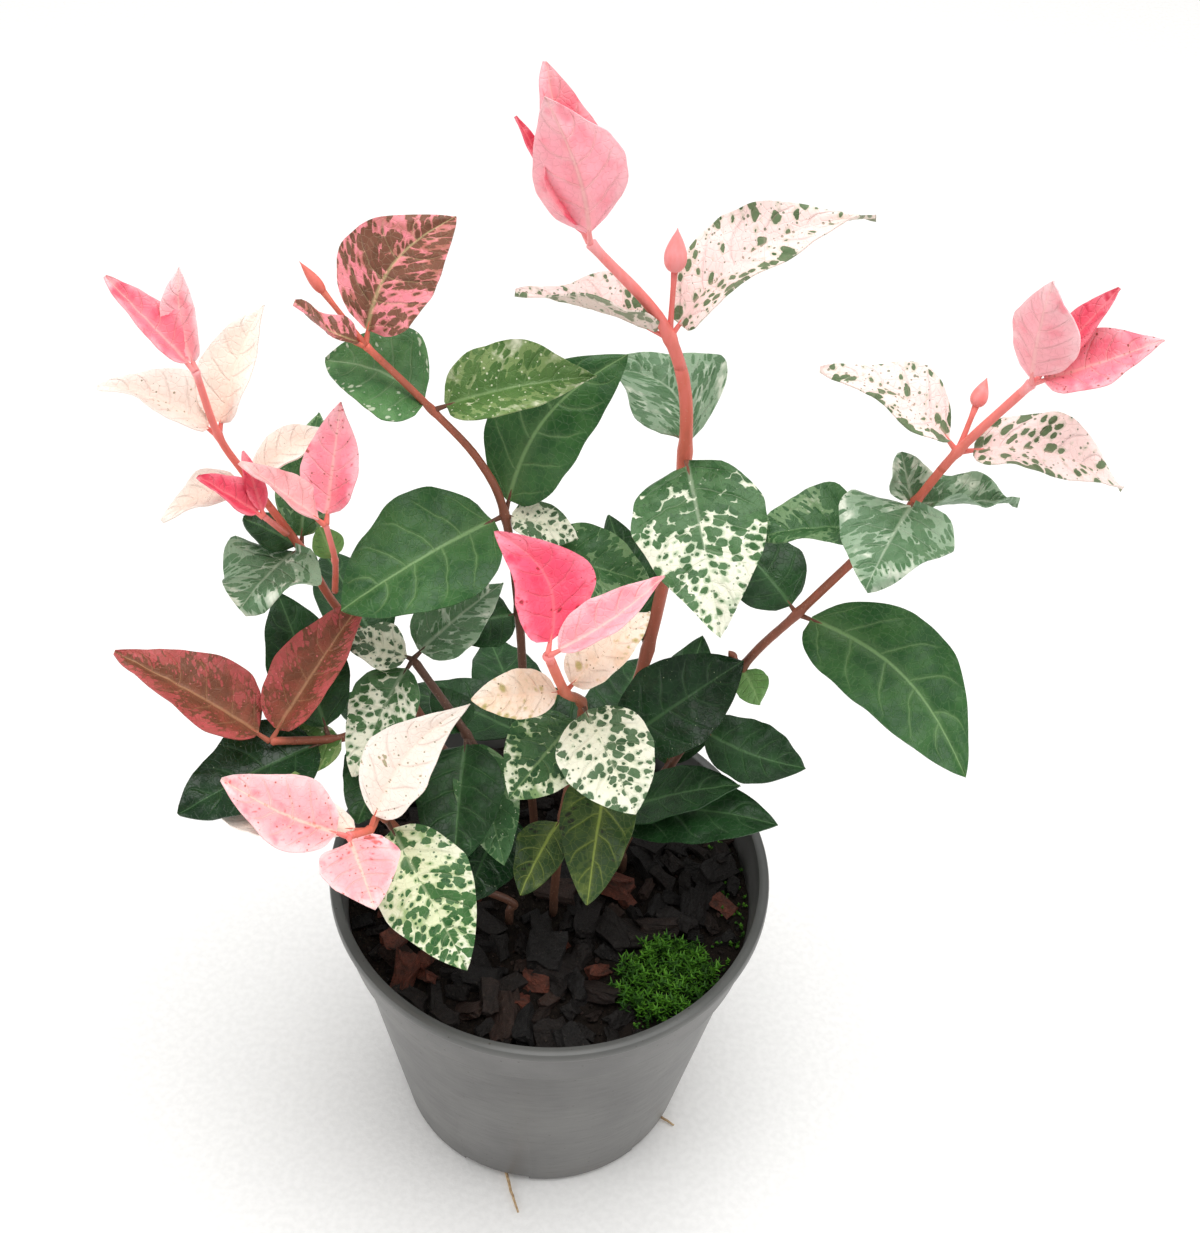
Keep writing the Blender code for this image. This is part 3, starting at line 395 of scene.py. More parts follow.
# How a leaf is coloured. Colours are of 0 to 255, as a screen shows them.
# The ground turns to the tip's colour at the tip and the margins. Soft clouds of the shade lie on it, and
# cloud is the share of the blade under them. Veining is how strongly the veins show in their own colour, and
# rough is the roughness. Flecks are small lone dots, given as a share and a colour.
# Spots are crisp. Base and tip are the shares of the blade under them there, and inward is how much of that
# moves from the margins to the midrib. Grain is their size in mm, roughly, slant is how far they lean along
# the side veins, and edge is how soft they are.
Look = namedtuple("Look", "ground tip shade vein cloud veining rough spots flecks", defaults=(None, None))
Spots = namedtuple("Spots", "colour base tip inward grain slant edge")
LOOKS = {
    "dark": Look((38, 76, 38), (36, 72, 36), (27, 58, 28), (98, 138, 88), 0.5, 0.5, 0.34),
    "glossy": Look(
        (25, 56, 28), (24, 52, 26), (16, 42, 20), (80, 118, 74), 0.5, 0.4, 0.24,
        flecks=(0.15, (176, 190, 150)),
    ),
    "veined": Look((57, 100, 50), (54, 96, 48), (42, 84, 41), (132, 168, 110), 0.5, 0.7, 0.36),
    "fresh": Look((104, 146, 76), (104, 146, 76), (88, 134, 66), (150, 186, 118), 0.5, 0.5, 0.42),
    "leafy": Look(
        (82, 128, 74), (98, 142, 88), (66, 112, 62), (158, 188, 142), 0.5, 0.5, 0.38,
        Spots((222, 228, 204), 0.0, 0.06, -0.5, 1.4, 0.5, 0.1), (0.1, (226, 232, 208)),
    ),
    "yellowing": Look(
        (66, 88, 40), (96, 112, 52), (46, 70, 32), (148, 164, 78), 0.6, 0.85, 0.38,
        Spots((34, 30, 22), 0.1, 0.05, 0, 2.2, 0.3, 0.12), (0.15, (40, 46, 26)),
    ),
    "edged": Look(
        (224, 228, 200), (222, 228, 200), (112, 144, 98), (124, 160, 104), 0.7, 0.4, 0.36,
        Spots((50, 92, 48), 0.86, 0.66, 0.5, 2.0, 0.5, 0.03), (0.2, (214, 222, 190)),
    ),
    "olive": Look(
        (226, 228, 198), (228, 230, 204), (122, 146, 88), (144, 172, 116), 0.6, 0.4, 0.36,
        Spots((74, 110, 52), 0.66, 0.66, 0.55, 2.0, 0.6, 0.03), (0.35, (214, 220, 186)),
    ),
    "marbled": Look(
        (236, 238, 214), (240, 240, 218), (148, 172, 134), (200, 212, 182), 0.3, 0.3, 0.36,
        Spots((50, 92, 46), 0.98, 0.12, -0.15, 2.5, 0.25, 0.025), (0.5, (58, 92, 54)),
    ),
    "bold": Look(
        (224, 230, 190), (238, 238, 216), (146, 174, 110), (206, 218, 170), 0.35, 0.3, 0.32,
        Spots((36, 84, 38), 0.52, 0.5, 0.1, 2.4, 0.3, 0.02), (0.5, (46, 92, 48)),
    ),
    "silver": Look(
        (220, 228, 208), (226, 232, 212), (136, 162, 132), (192, 208, 180), 0.6, 0.4, 0.36,
        Spots((76, 112, 74), 0.6, 0.54, 0.35, 1.9, 0.9, 0.04), (0.3, (74, 106, 72)),
    ),
    "half": Look(
        (226, 230, 198), (228, 232, 204), (122, 152, 96), (146, 174, 116), 0.5, 0.4, 0.32,
        Spots((36, 74, 38), 0.86, 0.5, 0.35, 2.2, 0.2, 0.025), (0.5, (50, 88, 48)),
    ),
    "spotted": Look(
        (240, 240, 214), (242, 242, 222), (188, 200, 168), (222, 228, 192), 0.12, 0.25, 0.38,
        Spots((48, 82, 46), 0.42, 0.38, -0.1, 2.4, 0.2, 0.02), (0.5, (62, 92, 58)),
    ),
    "blush": Look(
        (250, 222, 216), (250, 228, 220), (206, 200, 180), (248, 202, 194), 0.04, 0.25, 0.46,
        Spots((66, 94, 54), 0.37, 0.26, -0.25, 2.7, 0.35, 0.02), (0.45, (88, 108, 74)),
    ),
    "cream": Look(
        (250, 230, 214), (252, 244, 234), (250, 218, 202), (250, 212, 188), 0.35, 0.3, 0.48,
        flecks=(0.15, (130, 124, 84)),
    ),
    "flecked": Look(
        (250, 234, 221), (252, 242, 232), (250, 222, 207), (250, 216, 194), 0.3, 0.25, 0.46,
        Spots((142, 140, 102), 0.0, 0.02, 0, 1.4, 0.3, 0.06), (0.32, (124, 118, 82)),
    ),
    "stained": Look(
        (250, 230, 208), (250, 234, 216), (244, 214, 184), (250, 210, 180), 0.45, 0.25, 0.46,
        Spots((170, 162, 92), 0.14, 0.1, -0.2, 2.2, 0.3, 0.25), (0.28, (112, 100, 56)),
    ),
    "rose": Look(
        (255, 166, 178), (255, 206, 210), (253, 144, 158), (255, 206, 190), 0.42, 0.55, 0.46,
        flecks=(0.03, (206, 110, 104)),
    ),
    "pink": Look(
        (250, 124, 142), (255, 184, 190), (242, 98, 120), (255, 190, 178), 0.45, 0.45, 0.44,
        flecks=(0.06, (190, 84, 84)),
    ),
    "pale": Look(
        (252, 176, 184), (255, 222, 222), (250, 146, 158), (255, 212, 198), 0.4, 0.4, 0.46,
        flecks=(0.12, (190, 100, 92)),
    ),
    "hot": Look(
        (236, 86, 110), (246, 142, 154), (222, 66, 92), (250, 146, 148), 0.45, 0.4, 0.42,
        Spots((200, 54, 80), 0, 0, 0, 3.0, 0.4, 0.15), (0.05, (150, 50, 60)),
    ),
    "dusty": Look(
        (240, 170, 172), (244, 198, 194), (230, 150, 152), (250, 206, 192), 0.45, 0.4, 0.48,
        flecks=(0.1, (170, 110, 100)),
    ),
    "freckled": Look(
        (250, 140, 156), (252, 190, 196), (244, 114, 134), (255, 198, 186), 0.4, 0.45, 0.46,
        Spots((150, 84, 66), 0.02, 0.0, 0, 1.6, 0.3, 0.08), (0.36, (150, 74, 58)),
    ),
    "shell": Look(
        (252, 170, 176), (255, 216, 216), (248, 140, 150), (255, 220, 190), 0.4, 0.45, 0.44,
        Spots((214, 92, 84), 0.04, -0.1, 0.3, 1.8, 0.5, 0.12), (0.36, (184, 76, 60)),
    ),
    "blotched": Look(
        (244, 82, 112), (252, 146, 164), (236, 60, 92), (252, 132, 138), 0.35, 0.4, 0.4,
        Spots((140, 40, 44), 0.12, -0.1, 0, 2.0, 0.2, 0.06), (0.2, (150, 46, 50)),
    ),
    "bronze": Look(
        (146, 74, 58), (196, 92, 92), (116, 68, 48), (186, 136, 100), 0.55, 0.6, 0.38,
        Spots((190, 84, 84), 0.28, 0.5, -0.9, 1.3, 0.6, 0.14), (0.3, (222, 112, 116)),
    ),
    "mottled": Look(
        (234, 132, 144), (240, 146, 154), (170, 104, 88), (200, 184, 134), 0.4, 0.5, 0.38,
        Spots((104, 68, 50), 0.6, 0.5, 0.2, 1.8, 0.8, 0.05), (0.3, (120, 76, 62)),
    ),
}
SHINE = 0.28  # specular level of all leaves


def linear(colour):
    """A shader's colour from a colour of 0 to 255 as a screen shows it."""
    values = []
    for level in colour:
        share = level / 255
        values.append(share / 12.92 if share <= 0.04045 else ((share + 0.055) / 1.055) ** 2.4)
    return (*values, 1.0)


def between(first, second, share):
    """The colour at a share of the way from one colour to another."""
    return [low + (high - low) * share for low, high in zip(first, second)]


class Wire:
    """A socket of a finish, so that expressions on it add the Math nodes they need."""

    def __init__(self, finish, socket):
        self.finish = finish
        self.socket = socket

    def math(self, operation, *values):
        return self.finish.node("ShaderNodeMath", {"operation": operation}, self, *values)

    def __add__(self, other):
        return self.math("ADD", other)

    __radd__ = __add__

    def __sub__(self, other):
        return self.math("SUBTRACT", other)

    def __rsub__(self, other):
        return self.finish.node("ShaderNodeMath", {"operation": "SUBTRACT"}, other, self)

    def __mul__(self, other):
        return self.math("MULTIPLY", other)

    __rmul__ = __mul__

    def __truediv__(self, other):
        return self.math("DIVIDE", other)

    def __pow__(self, other):
        return self.math("POWER", other)

    def size(self):
        return self.math("ABSOLUTE")

    def sign(self):
        return self.math("SIGN")

    def most(self, other):
        return self.math("MAXIMUM", other)

    def folded(self, length):
        """Runs up from 0 to a length and back down, over and over."""
        return self.math("PINGPONG", length)

    def step(self, low, high):
        """Runs smoothly from 0 at one value to 1 at another."""
        settings = {"interpolation_type": "SMOOTHSTEP"}
        return self.finish.node("ShaderNodeMapRange", settings, self, low, high, 0.0, 1.0)


SOCKETS = {"specular_ior_level": "Specular IOR Level"}  # names that .title() spells wrongly
WHITE = (255, 255, 255)


class Finish:
    """A material under construction, with its Principled shader."""

    def __init__(self, name):
        self.material = bpy.data.materials.new(name)
        self.material.use_nodes = True
        self.tree = self.material.node_tree
        self.shader = self.tree.nodes["Principled BSDF"]

    def feed(self, socket, value):
        """Link a wire to a socket, or set a constant on it."""
        if isinstance(value, Wire):
            self.tree.links.new(value.socket, socket)
        elif value is not None:
            socket.default_value = value

    def node(self, kind, settings, *values, out=0, **named):
        """Add a node with its settings, then its sockets' values in order or by name."""
        made = self.tree.nodes.new(kind)
        for name, setting in settings.items():
            if name == "stops":
                self.set_stops(made.color_ramp, setting)
            else:
                setattr(made, name, setting)
        for socket, value in zip(made.inputs, values):
            self.feed(socket, value)
        for name, value in named.items():
            self.feed(made.inputs[name.replace("_", " ").title()], value)
        return Wire(self, made.outputs[out])

    def set_stops(self, ramp, stops):
        while len(ramp.elements) < len(stops):
            ramp.elements.new(1.0)
        for element, (place, colour) in zip(ramp.elements, stops):
            element.position = place
            element.color = colour

    def ramp(self, value, *stops):
        """A colour ramp from pairs of a place and a colour of 0 to 255."""
        settings = {"stops": [(place, linear(colour)) for place, colour in stops]}
        return self.node("ShaderNodeValToRGB", settings, value)

    def attribute(self, name):
        """The three numbers that a piece keeps at each of its points under a name."""
        return self.parts(self.node("ShaderNodeAttribute", {"attribute_name": name}, out="Vector"))

    def place(self):
        return self.node("ShaderNodeTexCoord", {}, out="Object")

    def parts(self, vector):
        """The three numbers of a vector or a colour."""
        first = self.node("ShaderNodeSeparateXYZ", {}, vector)
        return [Wire(self, socket) for socket in first.socket.node.outputs]

    def vector(self, x, y, z):
        return self.node("ShaderNodeCombineXYZ", {}, x, y, z)

    def stretched(self, vector, factors):
        return self.node("ShaderNodeVectorMath", {"operation": "MULTIPLY"}, vector, factors)

    def cloud(self, vector, scale, detail=2.0, roughness=0.5):
        """Smooth noise of 0 to 1."""
        return self.node(
            "ShaderNodeTexNoise", {}, vector=vector, scale=scale, detail=detail, roughness=roughness
        )

    def cells(self, vector, scale, dimensions="3D", feature="F1", out="Distance"):
        """Distance to the nearest cell's point, or what else a cell pattern gives."""
        settings = {"feature": feature, "voronoi_dimensions": dimensions}
        return self.node("ShaderNodeTexVoronoi", settings, out=out, vector=vector, scale=scale)

    def mix(self, share, first, second, blend="MIX"):
        """Blend two colours by a share, each a wire or a colour of 0 to 255."""
        made = self.tree.nodes.new("ShaderNodeMix")
        made.data_type = "RGBA"
        made.blend_type = blend
        self.feed(made.inputs[0], share)
        for socket, colour in zip((made.inputs[6], made.inputs[7]), (first, second)):
            self.feed(socket, colour if isinstance(colour, Wire) else linear(colour))
        return Wire(self, made.outputs[2])

    def bump(self, height, distance, strength):
        return self.node("ShaderNodeBump", {}, strength=strength, distance=distance, height=height)

    def surface(self, colour, roughness, normal=None, **constants):
        """Feed the shader, set its constants and give the material."""
        self.feed(self.shader.inputs["Base Color"], colour)
        self.feed(self.shader.inputs["Roughness"], roughness)
        self.feed(self.shader.inputs["Normal"], normal)
        for name, value in constants.items():
            self.shader.inputs[SOCKETS.get(name, name.replace("_", " ").title())].default_value = value
        return self.material


def vein_masks(finish, along, across, outward, wobble):
    """Shares of the midrib, of the side veins and of the glow round both.

    The side veins leave the midrib in pairs and bend up towards the tip.
    """
    wide = across.size()
    rib = outward / (1.25 - along)
    midrib = 1 - rib.step(0.12, 0.55)
    phase = (along - wide**1.5 * VEIN_SLANT) * VEIN_PAIRS + across.sign() * VEIN_OFFSET
    phase += (wobble - 0.5) * 0.35
    line = phase.folded(0.5) * (1 + wide)
    fading = (1 - wide.step(0.65, 0.97)) * (1 - along.step(0.80, 0.95))
    side = (1 - line.step(0.012, 0.060)) * fading
    glow = (1 - rib.step(0.3, 2.6)).most((1 - line.step(0.03, 0.18)) * fading)
    return midrib, side, glow


def spot_masks(finish, spots, along, across, x, outward, seed):
    """Shares of the crisp spots and of the soft ring round them, and a tone that differs from spot to spot.

    The spots run together where the cover is high.
    """
    flank = across.sign() * 23 + seed * 7
    wander = finish.cloud(finish.vector(x, outward, flank), 1.0, detail=2.0) - 0.5
    lengthways = x - outward * spots.slant + wander * 0.8 + flank
    plane = finish.vector(lengthways, outward * (1 - 0.45 * spots.slant) + wander * 0.6, 0.0)
    broad = finish.cloud(plane, 0.36 / spots.grain, detail=2.0)
    scale = 1.5 / spots.grain
    tone = finish.parts(finish.cells(plane, scale, "2D", out="Color"))[0]
    reach = finish.cells(plane, scale, "2D")
    cover = along * (spots.tip - spots.base) + spots.base + (0.5 - across.size()) * spots.inward
    room = cover * 1.5 - 0.35 + (tone - 0.5) * 0.8 + (broad - 0.5) * 2.2
    ring = (room + 0.2 - reach).step(-0.12, 0.2)
    return (room - reach).step(-spots.edge, spots.edge), ring, tone


def fleck_mask(finish, share, x, outward, seed):
    """Share of small lone flecks."""
    plane = finish.vector(x + seed * 11, outward, 0.0)
    scale = 0.9
    tone = finish.parts(finish.cells(plane, scale, "2D", out="Color"))[1]
    reach = finish.cells(plane, scale, "2D")
    return (share * 0.55 - tone * 0.55 - reach * 0.9).step(-0.02, 0.06) * 0.85


def leaf_finish(name, look):
    """A leaf's finish: ground, clouds of shade, spots, flecks, veins and a paler underside."""
    finish = Finish("leaf_" + name)
    along, across, under = finish.attribute("blade")
    x, y, seed = finish.attribute("spread")
    outward = y.size()
    place = finish.vector(x, y, seed)
    wobble = finish.cloud(place, 0.22, detail=1.0)
    tone = finish.cloud(place, 0.35, detail=3.0)
    fine = finish.cloud(place, 2.6, detail=2.0)
    midrib, side, glow = vein_masks(finish, along, across, outward, wobble)
    net = finish.cells(place, 0.75, "3D", feature="DISTANCE_TO_EDGE")
    net = (1 - net.step(0.02, 0.09)) * (1 - midrib)

    rim = across.size() + (tone - 0.5) * 0.5
    colour = finish.mix(along.step(0.62, 1.0).most(rim.step(0.5, 1.05) * 0.7), look.ground, look.tip)
    clouds = finish.cloud(place, 0.2, detail=3.0, roughness=0.55)
    colour = finish.mix((clouds + look.cloud - 1).step(-0.10, 0.10), colour, look.shade)
    colour = finish.mix(glow * 0.24 * look.veining, colour, look.vein)
    if look.spots:
        spotted, ring, spot_tone = spot_masks(finish, look.spots, along, across, x, outward, seed)
        colour = finish.mix(ring * 0.75, colour, look.shade)
        lighter = (spot_tone * 0.6 + tone * 0.8).step(0.5, 0.9)
        light_spot = between(look.spots.colour, look.shade, 0.25)
        colour = finish.mix(spotted, colour, finish.mix(lighter, look.spots.colour, light_spot))
    if look.flecks:
        share, fleck_colour = look.flecks
        colour = finish.mix(fleck_mask(finish, share, x, outward, seed), colour, fleck_colour)
    colour = finish.mix(net * 0.14 * look.veining, colour, look.vein)
    colour = finish.mix(midrib.most(side * 0.42) * look.veining, colour, look.vein)
    pale = [min(255, level * 0.9 + 26) for level in look.shade]
    colour = finish.mix(under * 0.3, colour, pale)
    colour = finish.mix(tone.step(0.3, 0.7) * 0.12, colour, WHITE, blend="SOFT_LIGHT")

    roughness = look.rough + (fine - 0.5) * 0.14 + under * 0.15 + (tone - 0.5) * 0.15
    height = fine * 0.2 - midrib * 0.4 - side * 0.5 - net * 0.25 + tone * 0.6 - glow * 0.5
    normal = finish.bump(height, distance=0.0003, strength=0.7)
    return finish.surface(colour, roughness, normal, specular_ior_level=SHINE)


def stem_finish():
    """Stems, petioles and buds: brown wood at the foot to coral and pink at the tips, with pale streaks."""
    finish = Finish("young_stem")
    young = finish.attribute("blade")[0]
    place = finish.place()
    streaks = finish.cloud(finish.stretched(place, (1.0, 1.0, 0.22)), 900.0, detail=2.0)
    age = young + (streaks - 0.5) * 0.16
    colour = finish.ramp(
        age,
        (0.0, (70, 52, 42)),
        (0.3, (104, 68, 52)),
        (0.5, (160, 92, 70)),
        (0.68, (216, 108, 88)),
        (0.85, (238, 128, 122)),
        (1.0, (246, 166, 168)),
    )
    pores = finish.cells(place, 1400.0)
    colour = finish.mix((1 - pores.step(0.12, 0.2)) * 0.25, colour, (214, 178, 150))
    normal = finish.bump(streaks - pores * 0.2, distance=0.0002, strength=0.5)
    return finish.surface(colour, 0.46, normal, specular_ior_level=0.35)


def bark_finish():
    """Wet bark chips: near black to red-brown by chip, with layered grain."""
    finish = Finish("bark_chips")
    tone = finish.attribute("blade")[0]
    place = finish.place()
    grain = finish.cloud(finish.stretched(place, (1.0, 1.0, 3.2)), 420.0, detail=5.0, roughness=0.65)
    colour = finish.ramp(
        tone + (grain - 0.5) * 0.5,
        (0.0, (12, 10, 9)),
        (0.45, (26, 20, 17)),
        (0.74, (50, 34, 27)),
        (0.9, (100, 52, 38)),
        (1.0, (136, 74, 52)),
    )
    dust = finish.cloud(place, 2600.0, detail=3.0)
    colour = finish.mix(dust.step(0.68, 0.74) * 0.35, colour, (120, 106, 90))
    normal = finish.bump(grain * 1.4 + dust * 0.4, distance=0.0009, strength=0.9)
    roughness = 0.56 - grain.step(0.5, 0.7) * 0.26
    return finish.surface(colour, roughness, normal, specular_ior_level=0.3)


def soil_finish():
    """Dark damp potting mix with a few pale grains of sand."""
    finish = Finish("potting_mix")
    place = finish.place()
    crumbs = finish.cells(place, 620.0)
    grain = finish.cloud(place, 900.0, detail=4.0, roughness=0.6)
    colour = finish.ramp(grain, (0.25, (14, 11, 9)), (0.6, (32, 25, 20)), (0.85, (62, 48, 38)))
    sand = finish.cells(place, 1500.0)
    colour = finish.mix((1 - sand.step(0.08, 0.12)) * 0.3, colour, (132, 124, 108))
    normal = finish.bump(grain + crumbs * 0.7, distance=0.0011, strength=0.9)
    return finish.surface(colour, 0.8, normal, specular_ior_level=0.15)


def moss_finish():
    """Moss, dark at its foot and light at its tips, with a tone of its own for each stem."""
    finish = Finish("moss_green")
    height, tone, _ = finish.attribute("blade")
    colour = finish.ramp(
        height * 0.7 + tone * 0.35 - 0.12,
        (0.0, (14, 30, 8)),
        (0.35, (36, 74, 16)),
        (0.7, (78, 132, 30)),
        (1.0, (140, 186, 66)),
    )
    return finish.surface(colour, 0.6, specular_ior_level=0.25)


def root_finish():
    finish = Finish("pale_root")
    place = finish.place()
    fibre = finish.cloud(place, 1500.0, detail=3.0)
    colour = finish.ramp(fibre, (0.3, (150, 118, 82)), (0.7, (206, 178, 138)))
    return finish.surface(colour, 0.75, finish.bump(fibre, distance=0.0003, strength=0.6))


def pot_finish():
    """Grey moulded plastic with fine scuffs, a dusty bloom, and specks of soil."""
    finish = Finish("grey_plastic")
    place = finish.place()
    x, y, z = finish.parts(place)
    cloud = finish.cloud(place, 45.0, detail=4.0, roughness=0.6)
    scuffs = finish.cloud(finish.stretched(place, (1.0, 1.0, 7.0)), 150.0, detail=4.0, roughness=0.7)
    colour = finish.mix(cloud.step(0.3, 0.7), (84, 83, 82), (104, 103, 101))
    colour = finish.mix(scuffs.step(0.62, 0.78) * 0.22, colour, (160, 159, 156))
    # Painted shade: the pot darkens to grey-green towards its top, over the lip and the inner rim.
    colour = finish.mix(z.step(0.0690, 0.0722) * 0.5, colour, (64, 67, 63))
    distance = (x * x + y * y) ** 0.5
    lip_foot = POT_HEIGHT - LIP_HEIGHT
    # Painted highlight: a thin pale line round the lip's lower outer edge.
    painted_lip_highlight = (1 - ((z - lip_foot) * 1000).size().step(0.15, 0.45)) * distance.step(0.0440, 0.0443)
    colour = finish.mix(painted_lip_highlight * 0.6, colour, (186, 186, 182))
    grit_scale = 900.0
    grit_tone = finish.parts(finish.cells(place, grit_scale, out="Color"))[0]
    grit_reach = finish.cells(place, grit_scale)
    specks = (grit_tone * 0.5 - 0.36 - grit_reach * 0.55).step(0.0, 0.04)
    colour = finish.mix(specks * 0.8, colour, (50, 42, 36))
    foot = (1 - z.step(0.002, 0.012)) * cloud.step(0.45, 0.62)
    colour = finish.mix(foot * 0.3, colour, (88, 82, 76))
    fine = finish.cloud(place, 2200.0, detail=2.0)
    normal = finish.bump(fine * 0.4 + scuffs.step(0.6, 0.8), distance=0.00012, strength=0.4)
    return finish.surface(colour, 0.32 + scuffs * 0.16, normal)


def floor_finish():
    finish = Finish("pale_paper")
    place = finish.place()
    fibre = finish.cloud(place, 700.0, detail=3.0)
    colour = finish.mix(fibre.step(0.3, 0.7), (244, 243, 241), (250, 249, 247))
    return finish.surface(colour, 0.9, finish.bump(fibre, distance=0.0004, strength=0.25))


def spline_point(route, at):
    """Catmull-Rom point at a route position: 2.5 is halfway from point 2 to point 3."""
    last = len(route) - 1
    index = min(int(at), last - 1)
    t = at - index
    p1, p2 = route[index], route[index + 1]
    p0 = route[index - 1] if index > 0 else p1 + (p1 - p2)
    p3 = route[index + 2] if index + 2 <= last else p2 + (p2 - p1)
    linear_part = (p2 - p0) * t
    square = (2 * p0 - 5 * p1 + 4 * p2 - p3) * t**2
    cubic = (3 * p1 - p0 - 3 * p2 + p3) * t**3
    return 0.5 * (2 * p1 + linear_part + square + cubic)


def foot_points(shoot):
    """The upright foot, which stands in the soil's hole. A twig has none: it starts beside its stem."""
    if shoot.foot is None:
        return []
    return [(*shoot.foot, height) for height in FOOT_HEIGHTS]


def full_route(shoot):
    """All points of a shoot, its foot's first."""
    return [Vector(point) for point in foot_points(shoot) + list(shoot.route)]


def route_place(shoot, at):
    """Point at a route position, which counts from the first point above the foot."""
    return spline_point(full_route(shoot), at + len(foot_points(shoot)))


def leaf_frame(row):
    """Chord, side and upper directions of a leaf or a bud's stalk."""
    heading, rise = math.radians(row.heading), math.radians(row.rise)
    flat = Vector((math.cos(heading), math.sin(heading), 0))
    chord = flat * math.cos(rise) + Vector((0, 0, math.sin(rise)))
    side = Vector((-flat.y, flat.x, 0))
    return chord, side, chord.cross(side)


def blade_half_width(share, tail):
    """Half width of an ovate blade, for a full width of 1, from its base (0) to its tip (1)."""
    drawn = 1 - tail * max(0.0, min(1.0, (share - TAIL[0]) / (TAIL[1] - TAIL[0])))
    point = BLADE_ROUNDING * (1 - BLADE_WIDEST) / BLADE_WIDEST
    peak = BLADE_WIDEST**BLADE_ROUNDING * (1 - BLADE_WIDEST) ** point
    return 0.5 * max(0.0, share) ** BLADE_ROUNDING * max(0.0, 1 - share) ** point / peak * drawn


class Blade:
    """The bent, folded and rippled surface of one leaf."""

    def __init__(self, base, row, seed):
        self.base = base
        self.row = row
        self.seed = seed
        self.chord, side, upper = leaf_frame(row)
        roll = math.radians(row.roll)
        self.side = side * math.cos(roll) + upper * math.sin(roll)
        self.upper = upper * math.cos(roll) - side * math.sin(roll)
        self.petiole = min(PETIOLE / row.length, PETIOLE_SHARE)

    def spine(self, along):
        """Point and normal of the midrib's line, from 0 at the stem to 1 at the tip."""
        curl = math.radians(self.row.curl)
        lean = curl / 2 - curl * along
        if abs(curl) < 1e-3:
            forward, lift = along, 0.0
        else:
            forward = (math.sin(curl / 2) - math.sin(lean)) / curl
            lift = (math.cos(lean) - math.cos(curl / 2)) / curl
        normal = self.upper * math.cos(lean) - self.chord * math.sin(lean)
        place = self.base + (self.chord * forward + self.upper * lift) * self.row.length * REACH
        return place + self.side * self.row.bow * math.sin(math.pi * along), normal

    def half_width(self, share, across):
        """Half width in mm on the side that a point lies on, with its uneven margin."""
        ragged = noise.noise(Vector((share * 7, math.copysign(4.0, across), self.seed)))
        half = self.row.width * blade_half_width(share, self.row.tail) * (1 + RAGGED * ragged)
        tip = TIP_WIDTH / 2 * min(1.0, math.sqrt(max(0.0, 1 - share) / TIP_ROUNDING))
        return max(half, tip, LEAST_HALF_WIDTH)

    def relief(self, share, across, outward):
        """Height in mm of the swells between the side veins, and of the slow waves of the blade."""
        wide = abs(across)
        place = Vector((share * self.row.length, outward, self.seed))
        broad, fine = [noise.noise(place * turns) * height for turns, height in SWELLS]
        phase = (share - VEIN_SLANT * wide**1.5) * VEIN_PAIRS + math.copysign(VEIN_OFFSET, across)
        room = min(1.0, wide * 2.2) * (1 - wide) * min(1.0, self.row.width / 12)
        return broad * wide + fine + PILLOW * abs(math.sin(math.pi * phase)) * room

    def point(self, share, across, lift):
        """Point at a share of the blade's length, and how far outward it lies, both in mm."""
        row = self.row
        place, normal = self.spine(self.petiole + share * (1 - self.petiole))
        fold = math.radians(row.fold)
        outward = self.half_width(share, across) * across
        opened = math.sqrt(outward**2 + 0.5) - math.sqrt(0.5)
        phase = math.tau * (1.6 * share + 0.25 * across)
        height = opened * math.sin(fold) + row.wave * math.sin(phase) * across**2
        height += self.relief(share, across, outward)
        rib = math.exp(-((outward / RIB_WIDTH) ** 2)) * (1 - 0.75 * share)
        height += BLADE / 2 - RIB_DEPTHS[0] * rib if lift > 0 else -BLADE / 2 - RIB_DEPTHS[1] * rib
        return place + self.side * outward * math.cos(fold) + normal * height, outward


def faces_of(verts):
    return list({face for vert in verts for face in vert.link_faces})


def mark(layers, vert, blade, spread=(0, 0, 0)):
    """Write a point's two records."""
    vert[layers[0]] = Vector(blade)
    vert[layers[1]] = Vector(spread)


def new_marks(bm):
    """The two records of three numbers that a piece's finish reads at each point."""
    return bm.verts.layers.float_vector.new("blade"), bm.verts.layers.float_vector.new("spread")


def add_blade(bm, layers, blade, slot):
    """A thin closed leaf blade: a grid given a thickness, then bent into place."""
    row = blade.row
    rows = max(12, round(row.length / CELL))
    columns = 2 * max(3, round(row.width / CELL / 2))
    top = bmesh.ops.create_grid(bm, x_segments=rows, y_segments=columns, size=1)["verts"]
    grown = bmesh.ops.extrude_face_region(bm, geom=faces_of(top))["geom"]
    below = [item for item in grown if isinstance(item, bmesh.types.BMVert)]
    bmesh.ops.translate(bm, vec=(0, 0, -1), verts=below)
    shell = top + below
    faces = faces_of(shell)
    bmesh.ops.recalc_face_normals(bm, faces=faces)
    for edge in {edge for face in faces for edge in face.edges}:
        edge.smooth = edge.calc_face_angle() < 1.0
    for face in faces:
        face.material_index = slot
        face.smooth = True
    for vert in shell:
        share = (vert.co.x + 1) / 2
        across = vert.co.y
        lift = vert.co.z + 0.5
        point, outward = blade.point(share, across, lift)
        mark(layers, vert, (share, across, 0 if lift > 0 else 1), (share * row.length, outward, blade.seed))
        vert.co = point * MM


